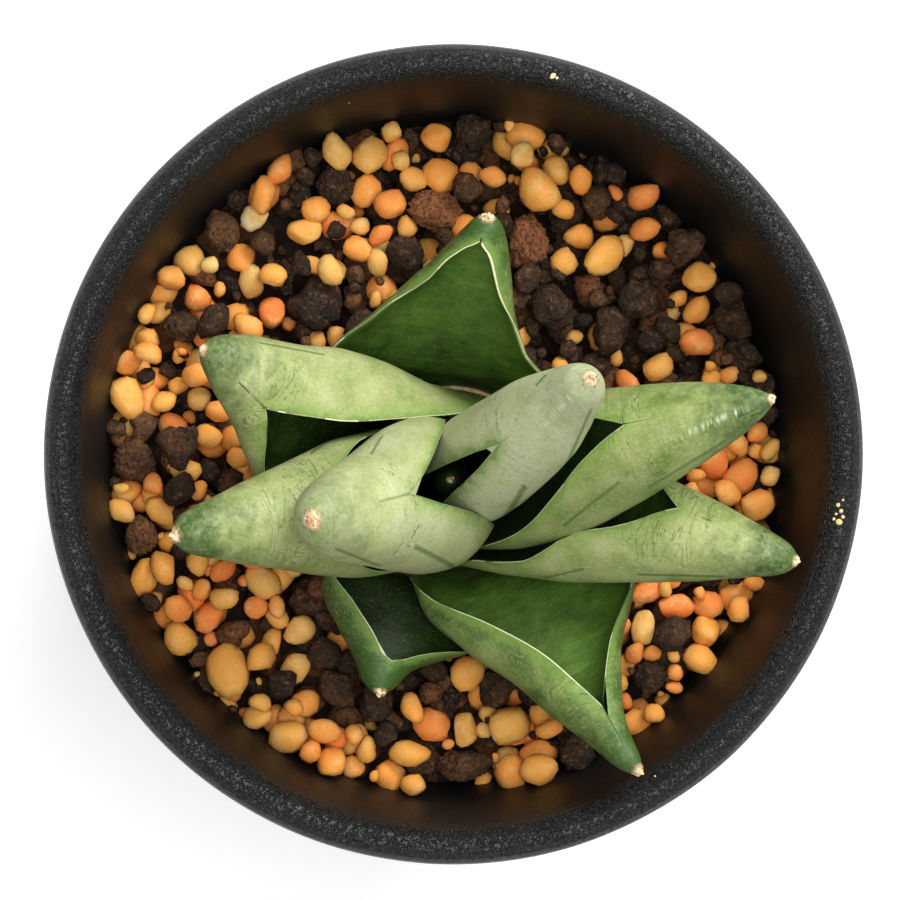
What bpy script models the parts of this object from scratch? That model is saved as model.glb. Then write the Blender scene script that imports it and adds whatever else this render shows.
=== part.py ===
import math

import bmesh
import bpy
from mathutils import Vector, noise

# Potted snake plant: a black nursery pot, mineral grit and a rosette of channelled leaves.
# Lengths below are millimetres, turned into metres when a mesh is made.
MM = 0.001
GAP = 0.3

# Pot
POT_RADIUS = 60.5
POT_HEIGHT = 98.0
COLLAR_HEIGHT = 9.6
LIP_WIDTH = 5.0
WALL = 1.8
WALL_DRAFT = 0.172
FOOT_RADIUS = 41.0
FOOT_WIDTH = 3.6
FLOOR_UNDER = 4.0
FLOOR_TOP = 6.2
CENTRE_HOLE_RADIUS = 4.0
SIDE_HOLE_RADIUS = 4.0
SIDE_HOLE_PLACE = 24.0
POT_STEPS = 48

# Grit bed
SOIL = 74.0
BED_BUMP = 0.7
BED_RINGS = 14

# Crown of the plant, under the leaves
CROWN_X = 0.6
CROWN_Y = -4.2
CROWN_RADIUS = 18.0
CROWN_TOP = SOIL - 2.6
CROWN_DEPTH = 16.0

# Leaf walls
LEAF_BASE = SOIL - 2.3
BASE_WALL = 1.6
KEEL_WALL = 3.0
EDGE_WALL = 1.1
LEVEL_PART = 0.3
LEAF_COLUMNS = 14
LEAF_ROWS = 8
TIP_ROWS = [0.2, 0.45, 0.7, 0.88, 1.0]
HOOD = 0.05

# Leaves from the youngest to the oldest. A spine passes through three points given in x, y and height
# over the grit, at one third, two thirds and the whole of its length. Width, depth, open and lean are
# pairs of place along the leaf and value: the full width and depth of the section, half of the arc the
# leaf wraps round (180 is closed) and the turn of its channel to the right.
LEAVES = [
    dict(name="leaf_1", radius=4.6, notch=0.667,
         spine=[(3.3, -2.0, 20.0), (10.1, 4.1, 38.5), (16.7, 10.8, 57.0)],
         width=[(0.33, 16.2), (0.667, 14.0), (0.85, 9.5), (0.95, 6.0)],
         depth=[(0.33, 15.8), (0.667, 13.5), (0.85, 9.5), (0.95, 6.0)],
         open=[(0.0, 140), (0.33, 162), (0.55, 171)],
         lean=[(0.0, -10), (0.33, -17), (0.667, -14), (1.0, -14)]),
    dict(name="leaf_2", radius=6.5, notch=0.667,
         spine=[(-4.4, -6.0, 19.0), (-13.9, -8.0, 36.7), (-22.3, -9.1, 53.0)],
         width=[(0.15, 18.8), (0.33, 23.2), (0.667, 16.0), (0.85, 11.5), (0.95, 7.0)],
         depth=[(0.15, 17.5), (0.33, 20.0), (0.667, 15.4), (0.85, 11.0), (0.95, 6.5)],
         open=[(0.0, 108), (0.18, 120), (0.33, 137), (0.55, 162)],
         lean=[(0.0, 10), (0.33, 15), (0.667, 8), (1.0, 7)]),
    dict(name="leaf_3", radius=8.4, notch=0.667,
         spine=[(12.0, -2.6, 19.0), (27.2, 2.6, 33.0), (44.4, 8.0, 43.0)],
         width=[(0.15, 21.0), (0.33, 21.5), (0.667, 15.5), (0.85, 9.5), (0.95, 4.5)],
         depth=[(0.33, 16.0), (0.667, 13.0), (0.85, 8.5), (0.95, 4.5)],
         open=[(0.0, 105), (0.33, 122), (0.47, 140), (0.55, 156)],
         lean=[(0.0, 0), (0.33, -14), (0.55, -22), (1.0, -16)]),
    dict(name="leaf_4", radius=10.3, notch=0.63,
         spine=[(-12.6, -7.4, 17.0), (-27.1, -9.6, 28.8), (-41.8, -11.6, 38.0)],
         width=[(0.33, 21.4), (0.667, 14.3), (0.85, 9.0), (0.95, 5.5)],
         depth=[(0.33, 18.0), (0.667, 12.5), (0.85, 8.5), (0.95, 5.5)],
         open=[(0.0, 100), (0.33, 107), (0.5, 133)],
         lean=[(0.0, 0), (0.33, -2), (0.5, -3), (0.63, 0), (1.0, 0)]),
    dict(name="leaf_5", radius=12.2, notch=0.667,
         spine=[(14.4, -7.9, 14.0), (33.1, -11.9, 25.0), (49.3, -15.7, 33.0)],
         width=[(0.33, 22.0), (0.667, 14.0), (0.85, 8.0), (0.95, 4.5)],
         depth=[(0.33, 17.0), (0.667, 11.5), (0.85, 8.0), (0.95, 4.5)],
         open=[(0.0, 95), (0.33, 102), (0.47, 126), (0.55, 140)],
         lean=[(0.0, 0), (0.33, -24), (0.47, -38), (0.6, -34), (1.0, -26)]),
    dict(name="leaf_6", radius=14.1, notch=0.7,
         spine=[(-15.6, 1.2, 14.0), (-27.8, 9.6, 25.0), (-37.7, 15.1, 32.0)],
         width=[(0.33, 27.6), (0.5, 23.6), (0.667, 15.5), (0.85, 9.0), (0.95, 4.5)],
         depth=[(0.33, 17.0), (0.5, 15.0), (0.667, 12.0), (0.85, 8.0), (0.95, 4.5)],
         open=[(0.0, 84), (0.33, 116), (0.47, 132), (0.55, 143)],
         lean=[(0.0, -6), (0.33, -33), (0.5, -36), (0.7, -26), (1.0, -24)]),
    dict(name="leaf_7", radius=16.3, notch=0.9,
         spine=[(-2.1, 11.0, 12.0), (1.6, 24.5, 20.0), (4.3, 35.2, 26.0)],
         width=[(0.2, 35.5), (0.33, 35.0), (0.5, 23.5), (0.667, 15.0), (0.8, 10.0), (0.9, 6.5), (0.96, 4.0)],
         depth=[(0.33, 18.0), (0.667, 11.0), (0.8, 8.5), (0.9, 6.0), (0.96, 4.0)],
         open=[(0.0, 76), (0.33, 85), (0.55, 98), (0.7, 127), (0.8, 141), (0.85, 152)],
         lean=[(0.0, 0), (0.6, 0), (0.8, -14), (1.0, -14)]),
    dict(name="leaf_8", radius=14.4, notch=0.83,
         spine=[(11.2, -16.4, 11.2), (17.2, -31.3, 19.0), (26.8, -46.8, 29.0)],
         width=[(0.33, 34.0), (0.5, 28.0), (0.667, 16.5), (0.75, 12.5), (0.87, 6.5), (0.96, 3.5)],
         depth=[(0.33, 15.5), (0.5, 14.0), (0.667, 12.0), (0.75, 10.0), (0.87, 6.5), (0.96, 3.5)],
         open=[(0.0, 60), (0.33, 98), (0.55, 127), (0.7, 149), (0.77, 162)],
         lean=[(0.0, 3), (0.33, -21), (1.0, -19)]),
    dict(name="leaf_9", radius=17.9, notch=0.82,
         spine=[(-5.8, -19.6, 8.0), (-9.5, -28.5, 11.0), (-11.0, -36.1, 15.0)],
         width=[(0.33, 27.0), (0.5, 25.0), (0.667, 16.0), (0.8, 9.0), (0.92, 5.0)],
         depth=[(0.15, 23.0), (0.33, 12.0), (0.5, 10.5), (0.667, 8.5), (0.8, 7.0), (0.92, 4.5)],
         open=[(0.0, 32), (0.2, 42), (0.33, 58), (0.47, 98), (0.55, 124), (0.7, 150), (0.78, 160)],
         lean=[(0.0, -18), (0.33, -18), (0.47, -24), (0.6, -16), (1.0, -8)]),
]

# The unopened leaf in the middle: place and height over the grit, and its width
BUD = dict(name="centre_bud", radius=2.6, notch=0.0,
           spine=[(0.1, -4.1, 9.0), (-0.5, -3.9, 17.0), (-1.0, -3.7, 25.0)],
           width=[(0.33, 5.4), (0.667, 4.2), (0.9, 2.2)],
           depth=[(0.33, 5.4), (0.667, 4.2), (0.9, 2.2)],
           open=[], lean=[(0.0, 0), (1.0, 0)])

# Large stones lying on the grit: name, x, y, the three half sizes and a turn in degrees
STONES = [
    ("lava_stone_1", -2.1, 37.2, 4.3, 3.3, 3.0, 15),
    ("lava_stone_2", 12.4, 32.8, 3.3, 4.3, 3.0, 0),
    ("lava_stone_3", -34.4, 33.9, 2.6, 3.2, 2.7, 10),
    ("lava_stone_4", -17.2, 41.4, 3.1, 3.2, 2.8, 0),
    ("lava_stone_5", -40.8, 19.5, 3.0, 2.4, 2.4, 25),
    ("lava_stone_6", -47.6, -0.8, 3.4, 3.6, 2.9, 0),
    ("lava_stone_7", -46.6, -12.2, 2.7, 3.3, 2.6, 0),
    ("lava_stone_8", 39.8, -18.4, 3.1, 2.2, 2.1, -10),
    ("lava_stone_9", 31.0, -34.4, 2.7, 2.6, 2.5, 0),
    ("lava_stone_10", 2.8, -47.7, 4.3, 2.5, 2.5, -5),
    ("clay_stone_1", -21.9, 34.1, 2.9, 2.0, 2.0, -25),
    ("clay_stone_2", -26.8, 21.5, 2.1, 2.5, 2.1, 0),
    ("clay_stone_3", -1.7, 48.4, 2.5, 2.3, 2.2, 0),
    ("clay_stone_4", 38.8, 27.2, 2.7, 2.4, 2.2, 20),
    ("clay_stone_5", 35.2, -23.4, 2.9, 2.0, 2.0, -10),
    ("clay_stone_6", 30.0, -26.6, 1.9, 2.7, 2.0, 0),
    ("clay_stone_7", 39.8, -27.2, 2.1, 2.9, 2.1, -20),
    ("clay_stone_8", 2.8, -42.2, 1.9, 2.7, 2.0, 0),
]


def through(pairs, t):
    """Read a smooth curve through pairs of place and value."""
    xs = [p[0] for p in pairs]
    ys = [p[1] for p in pairs]
    last = len(xs) - 1
    slopes = [(ys[i + 1] - ys[i]) / (xs[i + 1] - xs[i]) for i in range(last)]
    ends = [slopes[0]] + [0.0] * (last - 1) + [slopes[-1]]
    for i in range(1, last):
        if slopes[i - 1] * slopes[i] > 0:
            a = 2 * (xs[i + 1] - xs[i]) + (xs[i] - xs[i - 1])
            b = (xs[i + 1] - xs[i]) + 2 * (xs[i] - xs[i - 1])
            ends[i] = (a + b) / (a / slopes[i - 1] + b / slopes[i])
    i = 0
    while i < last - 1 and t > xs[i + 1]:
        i += 1
    h = xs[i + 1] - xs[i]
    s = min(max((t - xs[i]) / h, 0.0), 1.0)
    return ((2 * s ** 3 - 3 * s ** 2 + 1) * ys[i] + (s ** 3 - 2 * s ** 2 + s) * h * ends[i]
            + (3 * s ** 2 - 2 * s ** 3) * ys[i + 1] + (s ** 3 - s ** 2) * h * ends[i + 1])


def spine_at(leaf, t):
    """Place and heading of the spine: a cubic through its four points at thirds."""
    points = [Vector((CROWN_X, CROWN_Y, LEAF_BASE))]
    points += [Vector((x, y, SOIL + z)) for x, y, z in leaf["spine"]]
    knots = [0.0, 1 / 3, 2 / 3, 1.0]
    place = Vector()
    heading = Vector()
    for i in range(4):
        a, b, c = [knots[j] for j in range(4) if j != i]
        scale = (knots[i] - a) * (knots[i] - b) * (knots[i] - c)
        place += points[i] * ((t - a) * (t - b) * (t - c) / scale)
        slope = (t - b) * (t - c) + (t - a) * (t - c) + (t - a) * (t - b)
        heading += points[i] * (slope / scale)
    return place, heading.normalized()


def section(leaf, t):
    """Centre, left and upper directions, half width, half depth, half arc and lean of one section."""
    place, heading = spine_at(leaf, t)
    level = max(0.0, 1.0 - t / LEVEL_PART)
    level = level * level * (3 - 2 * level)
    heading = heading.lerp(Vector((0, 0, 1)), level).normalized()
    x, y, _ = leaf["spine"][2]
    out = Vector((x - CROWN_X, y - CROWN_Y, 0)).normalized()
    left = Vector((-out.y, out.x, 0))
    left = (left - heading * left.dot(heading)).normalized()
    upper = heading.cross(left)
    base = [(0.0, 2 * leaf["radius"])]
    tip = [(1.0, 0.3)]
    half_width = through(base + leaf["width"] + tip, t) / 2
    half_depth = through(base + leaf["depth"] + tip, t) / 2
    arc = math.pi
    if t < leaf["notch"]:
        arc = math.radians(through(leaf["open"] + [(leaf["notch"], 180)], t))
    lean = math.radians(through(leaf["lean"], t))
    return place, left, upper, half_width, half_depth, arc, lean


def wall_at(t, u, notch):
    """Leaf thickness at place t along it and u across it, rounded off at the margins."""
    keel = through([(0.0, BASE_WALL), (0.3, KEEL_WALL), (1.0, KEEL_WALL)], t)
    edge = EDGE_WALL + (keel - EDGE_WALL) * (1 - u * u)
    close = 1.0 + 2.0 * max(0.0, t - notch) / HOOD
    return edge * math.sqrt(max(0.0, 1 - u ** 8)) * close


def leaf_point(leaf, t, u, inside, grow):
    place, left, upper, half_width, half_depth, arc, lean = section(leaf, t)
    if inside:
        wall = wall_at(t, u, leaf["notch"])
        half_width = max(half_width - wall, 0.1 * half_width)
        half_depth = max(half_depth - wall, 0.1 * half_depth)
    else:
        half_width += grow
        half_depth += grow
    turn = u * arc + lean
    return place + left * (half_width * math.sin(turn)) - upper * (half_depth * math.cos(turn))


def across(part):
    """Columns of a sheet stand closer together towards the margins."""
    return 0.6 * (2 * part - 1) + 0.4 * math.sin(math.pi * (part - 0.5))


def leaf_sheet(bm, leaf, rows, columns, inside, grow=0.0):
    """One face of a leaf as a grid that follows its sections, from the base towards the tip."""
    grid = []
    for t in rows:
        ring = []
        for j in range(columns + 1):
            u = across(j / columns)
            ring.append(bm.verts.new(leaf_point(leaf, t, u, inside, grow) * MM))
        grid.append(ring)
    for low, high in zip(grid, grid[1:]):
        for j in range(columns):
            corners = [low[j], low[j + 1], high[j + 1], high[j]]
            bm.faces.new(corners[::-1] if inside else corners)
    return grid


def new_object(name, bm, collection, material=None):
    """Put a finished bmesh in the file as an object of its own."""
    bmesh.ops.recalc_face_normals(bm, faces=bm.faces)
    mesh = bpy.data.meshes.new(name)
    bm.to_mesh(mesh)
    bm.free()
    obj = bpy.data.objects.new(name, mesh)
    collection.objects.link(obj)
    if material:
        mesh.materials.append(material)
    return obj


def leaf_body(leaf, collection, material):
    """A leaf: outer face, inner face up to the closing of its channel, and a cap over its base."""
    notch = leaf["notch"]
    bm = bmesh.new()
    rows = [notch * i / LEAF_ROWS for i in range(LEAF_ROWS)] if notch else [0.0, 0.33]
    rows.append(notch or 0.66)
    rows += [rows[-1] + (1 - rows[-1]) * part for part in TIP_ROWS]
    outer = leaf_sheet(bm, leaf, rows, LEAF_COLUMNS, False)
    joins = {}
    for t, ring in zip(rows, outer):
        if t >= notch:
            joins[ring[-1]] = ring[0]
    for vert in outer[-1][1:]:
        joins[vert] = outer[-1][0]
    if notch:
        hood = [t for t in rows if t <= notch] + [notch + 0.5 * HOOD, notch + HOOD]
        inner = leaf_sheet(bm, leaf, hood, LEAF_COLUMNS, True)
        for t, ring, skin in zip(hood, inner, outer):
            if t < notch:
                joins[ring[0]] = skin[0]
                joins[ring[-1]] = skin[-1]
            elif t == notch:
                joins[ring[0]] = skin[0]
                joins[ring[-1]] = skin[0]
        for ring in inner[-2:]:
            joins[ring[-1]] = ring[0]
        for vert in inner[-1][1:]:
            joins[vert] = inner[-1][0]
        for j in range(LEAF_COLUMNS):
            bm.faces.new([outer[0][j + 1], outer[0][j], inner[0][j], inner[0][j + 1]])
    else:
        bm.faces.new(outer[0][:-1])
    bmesh.ops.weld_verts(bm, targetmap=joins)
    return new_object(leaf["name"], bm, collection, material)


def turned(profile, steps, close):
    """Spin a profile of radius and height round the upright axis."""
    bm = bmesh.new()
    verts = [bm.verts.new((r * MM, 0, z * MM)) for r, z in profile]
    edges = [bm.edges.new(pair) for pair in zip(verts, verts[1:])]
    if close:
        edges.append(bm.edges.new((verts[-1], verts[0])))
    bmesh.ops.spin(bm, geom=verts + edges, cent=(0, 0, 0), axis=(0, 0, 1), angle=2 * math.pi,
                   steps=steps, use_merge=True)
    bmesh.ops.remove_doubles(bm, verts=bm.verts, dist=0.00001)
    return bm


def inner_wall(z):
    """Inside radius of the pot wall at a height."""
    top = POT_RADIUS - LIP_WIDTH
    return top - (POT_HEIGHT - 2.5 - z) * WALL_DRAFT


def cut(target, cutters):
    """Take hidden cutter objects away from a body."""
    for cutter in cutters:
        cutter.hide_render = True
        cutter.display_type = "WIRE"
        step = target.modifiers.new(cutter.name, "BOOLEAN")
        step.operation = "DIFFERENCE"
        step.solver = "EXACT"
        step.object = cutter


def pot(parts, cutters, material):
    """Nursery pot: rolled rim and collar, tapered wall, foot ring and drainage holes in the floor."""
    lip = POT_RADIUS - LIP_WIDTH
    under = POT_HEIGHT - COLLAR_HEIGHT
    low = FLOOR_TOP + 1.8
    profile = [
        (lip + 1.6, POT_HEIGHT), (POT_RADIUS - 1.9, POT_HEIGHT), (POT_RADIUS - 0.6, POT_HEIGHT - 0.6),
        (POT_RADIUS, POT_HEIGHT - 2.0), (POT_RADIUS, under + 1.0), (POT_RADIUS - 0.6, under),
        (inner_wall(under) + WALL, under), (inner_wall(3.0) + WALL, 3.0), (FOOT_RADIUS, 0.0),
        (FOOT_RADIUS - FOOT_WIDTH, 0.0), (FOOT_RADIUS - FOOT_WIDTH - 0.7, FLOOR_UNDER),
        (CENTRE_HOLE_RADIUS, FLOOR_UNDER), (CENTRE_HOLE_RADIUS, FLOOR_TOP),
        (inner_wall(low) - 1.6, FLOOR_TOP), (inner_wall(low), low),
        (lip, POT_HEIGHT - 2.5), (lip + 0.5, POT_HEIGHT - 0.7),
    ]
    body = new_object("nursery_pot", turned(profile, POT_STEPS, True), parts, material)
    holes = []
    for i in range(4):
        turn = math.radians(45 + 90 * i)
        bm = bmesh.new()
        bmesh.ops.create_cone(bm, cap_ends=True, segments=20, radius1=SIDE_HOLE_RADIUS * MM,
                              radius2=SIDE_HOLE_RADIUS * MM, depth=8 * MM)
        place = Vector((math.cos(turn), math.sin(turn), 0)) * SIDE_HOLE_PLACE
        place.z = (FLOOR_UNDER + FLOOR_TOP) / 2
        bmesh.ops.translate(bm, verts=bm.verts, vec=place * MM)
        holes.append(new_object("drain_hole_%d" % (i + 1), bm, cutters))
    cut(body, holes)
    return body


def crown_profile(grow):
    """Stub of the plant that the leaves sit on, tapering into the grit."""
    low = CROWN_TOP - CROWN_DEPTH
    return [(0, CROWN_TOP), (CROWN_RADIUS + grow, CROWN_TOP), (CROWN_RADIUS + grow, CROWN_TOP - 2.5),
            (10.0 + grow, CROWN_TOP - 8.0), (6.5 + grow, low + 3.0), (4.0 + grow, low + 0.6 - grow),
            (0, low - grow)]


def crown(parts, material):
    bm = turned(crown_profile(0.0), 24, False)
    bmesh.ops.translate(bm, verts=bm.verts, vec=Vector((CROWN_X, CROWN_Y, 0)) * MM)
    return new_object("crown", bm, parts, material)


def stone_mesh(name, x, y, a, b, c, turn, grow=0.0):
    """A pebble: a low ball stretched to its three half sizes, rougher where it is lava."""
    bm = bmesh.new()
    bmesh.ops.create_icosphere(bm, subdivisions=2, radius=1.0)
    rough = 0.16 if name.startswith("lava") else 0.08
    shift = Vector((x, y, 0.0))
    for vert in bm.verts:
        vert.co *= 1.0 + rough * noise.noise(vert.co * 1.7 + shift)
        vert.co.x *= (a + grow) * MM
        vert.co.y *= (b + grow) * MM
        vert.co.z *= (c + grow) * MM
    spin = math.radians(turn)
    for vert in bm.verts:
        flat = Vector((vert.co.x * math.cos(spin) - vert.co.y * math.sin(spin),
                       vert.co.x * math.sin(spin) + vert.co.y * math.cos(spin), vert.co.z))
        vert.co = flat + Vector((x, y, SOIL + 0.4)) * MM
    return bm


def bed(parts, cutters, material):
    """The grit as one filling of the pot, with a pocket for the crown and a socket for each stone."""
    top = SOIL - 0.8
    edge = inner_wall(top) - GAP
    low = FLOOR_TOP + GAP
    profile = [(0, top)]
    profile += [(edge * i / BED_RINGS, top) for i in range(1, BED_RINGS + 1)]
    profile += [(inner_wall(low + 1.9) - GAP, low + 1.9), (inner_wall(low + 1.9) - 2.0, low), (0, low)]
    bm = turned(profile, POT_STEPS, False)
    for vert in bm.verts:
        inside = math.hypot(vert.co.x, vert.co.y) < (edge - 0.5) * MM
        if vert.co.z > (top - 0.1) * MM and inside:
            vert.co.z += BED_BUMP * MM * noise.noise(vert.co * 260.0)
    body = new_object("grit_bed", bm, parts, material)
    pocket = crown_profile(GAP)
    pocket[0:3] = [(0, SOIL + 6.0), (CROWN_RADIUS + 10.5, SOIL + 6.0),
                   (CROWN_RADIUS + 2 * GAP, CROWN_TOP - 1.0), (CROWN_RADIUS + 2 * GAP, CROWN_TOP - 2.5)]
    bm = turned(pocket, 24, False)
    bmesh.ops.translate(bm, verts=bm.verts, vec=Vector((CROWN_X, CROWN_Y, 0)) * MM)
    tools = [new_object("crown_pocket", bm, cutters)]
    sockets = bmesh.new()
    for stone in STONES:
        piece = bpy.data.meshes.new("socket")
        shape = stone_mesh(*stone, grow=0.4)
        shape.to_mesh(piece)
        shape.free()
        sockets.from_mesh(piece)
        bpy.data.meshes.remove(piece)
    tools.append(new_object("stone_sockets", sockets, cutters))
    cut(body, tools)
    return body


def surface(name, colour, roughness):
    """Plain material from an sRGB hex colour."""
    channels = [int(colour[i:i + 2], 16) / 255 for i in (1, 3, 5)]
    linear = [c / 12.92 if c <= 0.04045 else ((c + 0.055) / 1.055) ** 2.4 for c in channels]
    material = bpy.data.materials.new(name)
    material.use_nodes = True
    shader = material.node_tree.nodes["Principled BSDF"]
    shader.inputs["Base Color"].default_value = (*linear, 1.0)
    shader.inputs["Roughness"].default_value = roughness
    shader.inputs["Metallic"].default_value = 0.0
    return material


def main():
    for obj in list(bpy.data.objects):
        bpy.data.objects.remove(obj)
    parts = bpy.data.collections.new("potted_snake_plant")
    cutters = bpy.data.collections.new("cutters")
    for group in (parts, cutters):
        bpy.context.scene.collection.children.link(group)
    cutters.hide_render = True

    black = surface("black_moulded_plastic", "#26262A", 0.55)
    pale = surface("pale_waxy_leaf", "#A6BC88", 0.5)
    green = surface("green_leaf", "#5E8A44", 0.45)
    stem = surface("crown_tissue", "#C9B98A", 0.7)
    grit = surface("mixed_grit", "#6B4630", 0.9)
    lava = surface("lava_stone", "#5A3A2E", 0.95)
    clay = surface("fired_clay_stone", "#D98E4E", 0.8)

    pot(parts, cutters, black)
    bed(parts, cutters, grit)
    crown(parts, stem)
    leaf_body(BUD, parts, green)
    for leaf in LEAVES:
        old = leaf["name"] in ("leaf_7", "leaf_8", "leaf_9")
        leaf_body(leaf, parts, green if old else pale)
    for stone in STONES:
        material = lava if stone[0].startswith("lava") else clay
        new_object(stone[0], stone_mesh(*stone), parts, material)


main()
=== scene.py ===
import math
import random
from functools import partial

import bmesh
import bpy
import numpy as np
from mathutils import Matrix, Vector, noise
from mathutils.bvhtree import BVHTree


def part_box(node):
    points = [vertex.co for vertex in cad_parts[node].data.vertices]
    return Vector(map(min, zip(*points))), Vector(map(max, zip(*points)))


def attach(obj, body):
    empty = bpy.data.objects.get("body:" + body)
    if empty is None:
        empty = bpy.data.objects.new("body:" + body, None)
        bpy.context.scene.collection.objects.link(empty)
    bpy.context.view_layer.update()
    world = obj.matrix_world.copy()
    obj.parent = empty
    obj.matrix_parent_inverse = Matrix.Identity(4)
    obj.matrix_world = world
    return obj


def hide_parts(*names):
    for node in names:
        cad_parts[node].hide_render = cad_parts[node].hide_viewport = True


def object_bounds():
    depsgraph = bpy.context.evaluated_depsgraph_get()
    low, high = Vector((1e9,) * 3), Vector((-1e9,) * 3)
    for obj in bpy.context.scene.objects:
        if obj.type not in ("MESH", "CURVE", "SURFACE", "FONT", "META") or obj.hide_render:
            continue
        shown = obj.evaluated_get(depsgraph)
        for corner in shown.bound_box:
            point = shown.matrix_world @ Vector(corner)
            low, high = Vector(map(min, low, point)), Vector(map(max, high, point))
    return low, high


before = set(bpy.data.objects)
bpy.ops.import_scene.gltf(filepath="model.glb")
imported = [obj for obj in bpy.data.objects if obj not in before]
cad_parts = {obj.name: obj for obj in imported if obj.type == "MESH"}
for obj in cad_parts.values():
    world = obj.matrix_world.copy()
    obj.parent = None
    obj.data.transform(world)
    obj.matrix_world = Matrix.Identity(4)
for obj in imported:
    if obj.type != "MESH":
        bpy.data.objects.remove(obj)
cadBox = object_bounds()
noise.seed_set(4)    # noise_vector would otherwise start from the clock

mm = 0.001
soilLevel = 74.0  # height of the grit surface over the pot's foot, mm

cameraView = {
    "target": (-1.04, 0.64, 98.0),  # middle of the rim as the picture frames it, mm
    "distance": 550.0,
    "tilt": 3.5,                    # degrees, the camera stands a little to the left
    "lens": 150.0,
    "sensor": 36.0,
}


def hexToLinear(code):
    channels = [int(code[i:i + 2], 16) / 255 for i in (1, 3, 5)]
    return [c / 12.92 if c <= 0.04045 else ((c + 0.055) / 1.055) ** 2.4 for c in channels] + [1.0]


def setNode(tree, node, settings):
    # a socket among the settings is linked, colour stops fill the bar, anything else is set
    for key, value in settings.items():
        if key == "stops":
            bar = node.color_ramp.elements
            while len(bar) < len(value):
                bar.new(1.0)
            for element, (place, code) in zip(bar, value):
                element.position = place
                element.color = hexToLinear(code)
        elif isinstance(value, bpy.types.NodeSocket):
            tree.links.new(value, node.inputs[key])
        elif isinstance(key, str) and key in node.bl_rna.properties:
            setattr(node, key, value)
        else:
            node.inputs[key].default_value = hexToLinear(value) if isinstance(value, str) else value


def addNode(tree, kind, settings, output=0):
    # one new node with its settings and links, gives back the output that is wanted
    node = tree.nodes.new("ShaderNode" + kind)
    setNode(tree, node, settings)
    return node.outputs[output]


def newMaterial(name, roughness, ior=1.5, specular=0.5):
    material = bpy.data.materials.new(name)
    material.use_nodes = True
    tree = material.node_tree
    shader = tree.nodes["Principled BSDF"]
    setNode(tree, shader, {"Roughness": roughness, "IOR": ior, "Specular IOR Level": specular})
    return material, partial(addNode, tree), partial(setNode, tree, shader)


def layerColours(add, colour, layers):
    # each mask lays its colour over what is there already
    for mask, tint in layers:
        colour = add("Mix", {"data_type": "RGBA", 0: mask, 6: colour, 7: tint}, 2)
    return colour


def newPiece(name, bm, materials, nodes=(), smooth=True):
    # a finished bmesh becomes a piece that rides on the one body
    mesh = bpy.data.meshes.new(name)
    bm.to_mesh(mesh)
    bm.free()
    piece = bpy.data.objects.new(name, mesh)
    bpy.context.scene.collection.objects.link(piece)
    for material in materials:
        mesh.materials.append(material)
    for face in mesh.polygons:
        face.use_smooth = smooth
    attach(piece, "root")
    if nodes:
        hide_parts(*nodes)
    return piece


# camera first, because marks and grains are placed by what it sees
def makeCamera():
    tilt = math.radians(cameraView["tilt"])
    data = bpy.data.cameras.new("pictureCamera")
    data.lens = cameraView["lens"]
    data.sensor_width = cameraView["sensor"]
    data.clip_start = 0.01
    data.clip_end = 20.0
    camera = bpy.data.objects.new("pictureCamera", data)
    away = Vector((-math.sin(tilt), 0, math.cos(tilt))) * cameraView["distance"]
    camera.location = (Vector(cameraView["target"]) + away) * mm
    camera.rotation_euler = (0, -tilt, 0)
    bpy.context.scene.collection.objects.link(camera)
    bpy.context.scene.camera = camera
    return camera


def toPixel(place):
    # pixel of the 900 x 900 picture that shows a point given in mm
    tilt = math.radians(cameraView["tilt"])
    right = Vector((math.cos(tilt), 0, math.sin(tilt)))
    back = Vector((-math.sin(tilt), 0, math.cos(tilt)))
    offset = place - Vector(cameraView["target"]) - back * cameraView["distance"]
    focal = cameraView["lens"] / cameraView["sensor"] * 900
    depth = -offset.dot(back)
    return 450 + focal * offset.dot(right) / depth, 450 - focal * offset.y / depth


def sightLine(px, py):
    # where the camera stands, in mm, and the direction in which it sees a pixel
    tilt = math.radians(cameraView["tilt"])
    right = Vector((math.cos(tilt), 0, math.sin(tilt)))
    back = Vector((-math.sin(tilt), 0, math.cos(tilt)))
    focal = cameraView["lens"] / cameraView["sensor"] * 900
    ray = right * ((px - 450) / focal) + Vector((0, (450 - py) / focal, 0)) - back
    return Vector(cameraView["target"]) + back * cameraView["distance"], ray.normalized()


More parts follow.
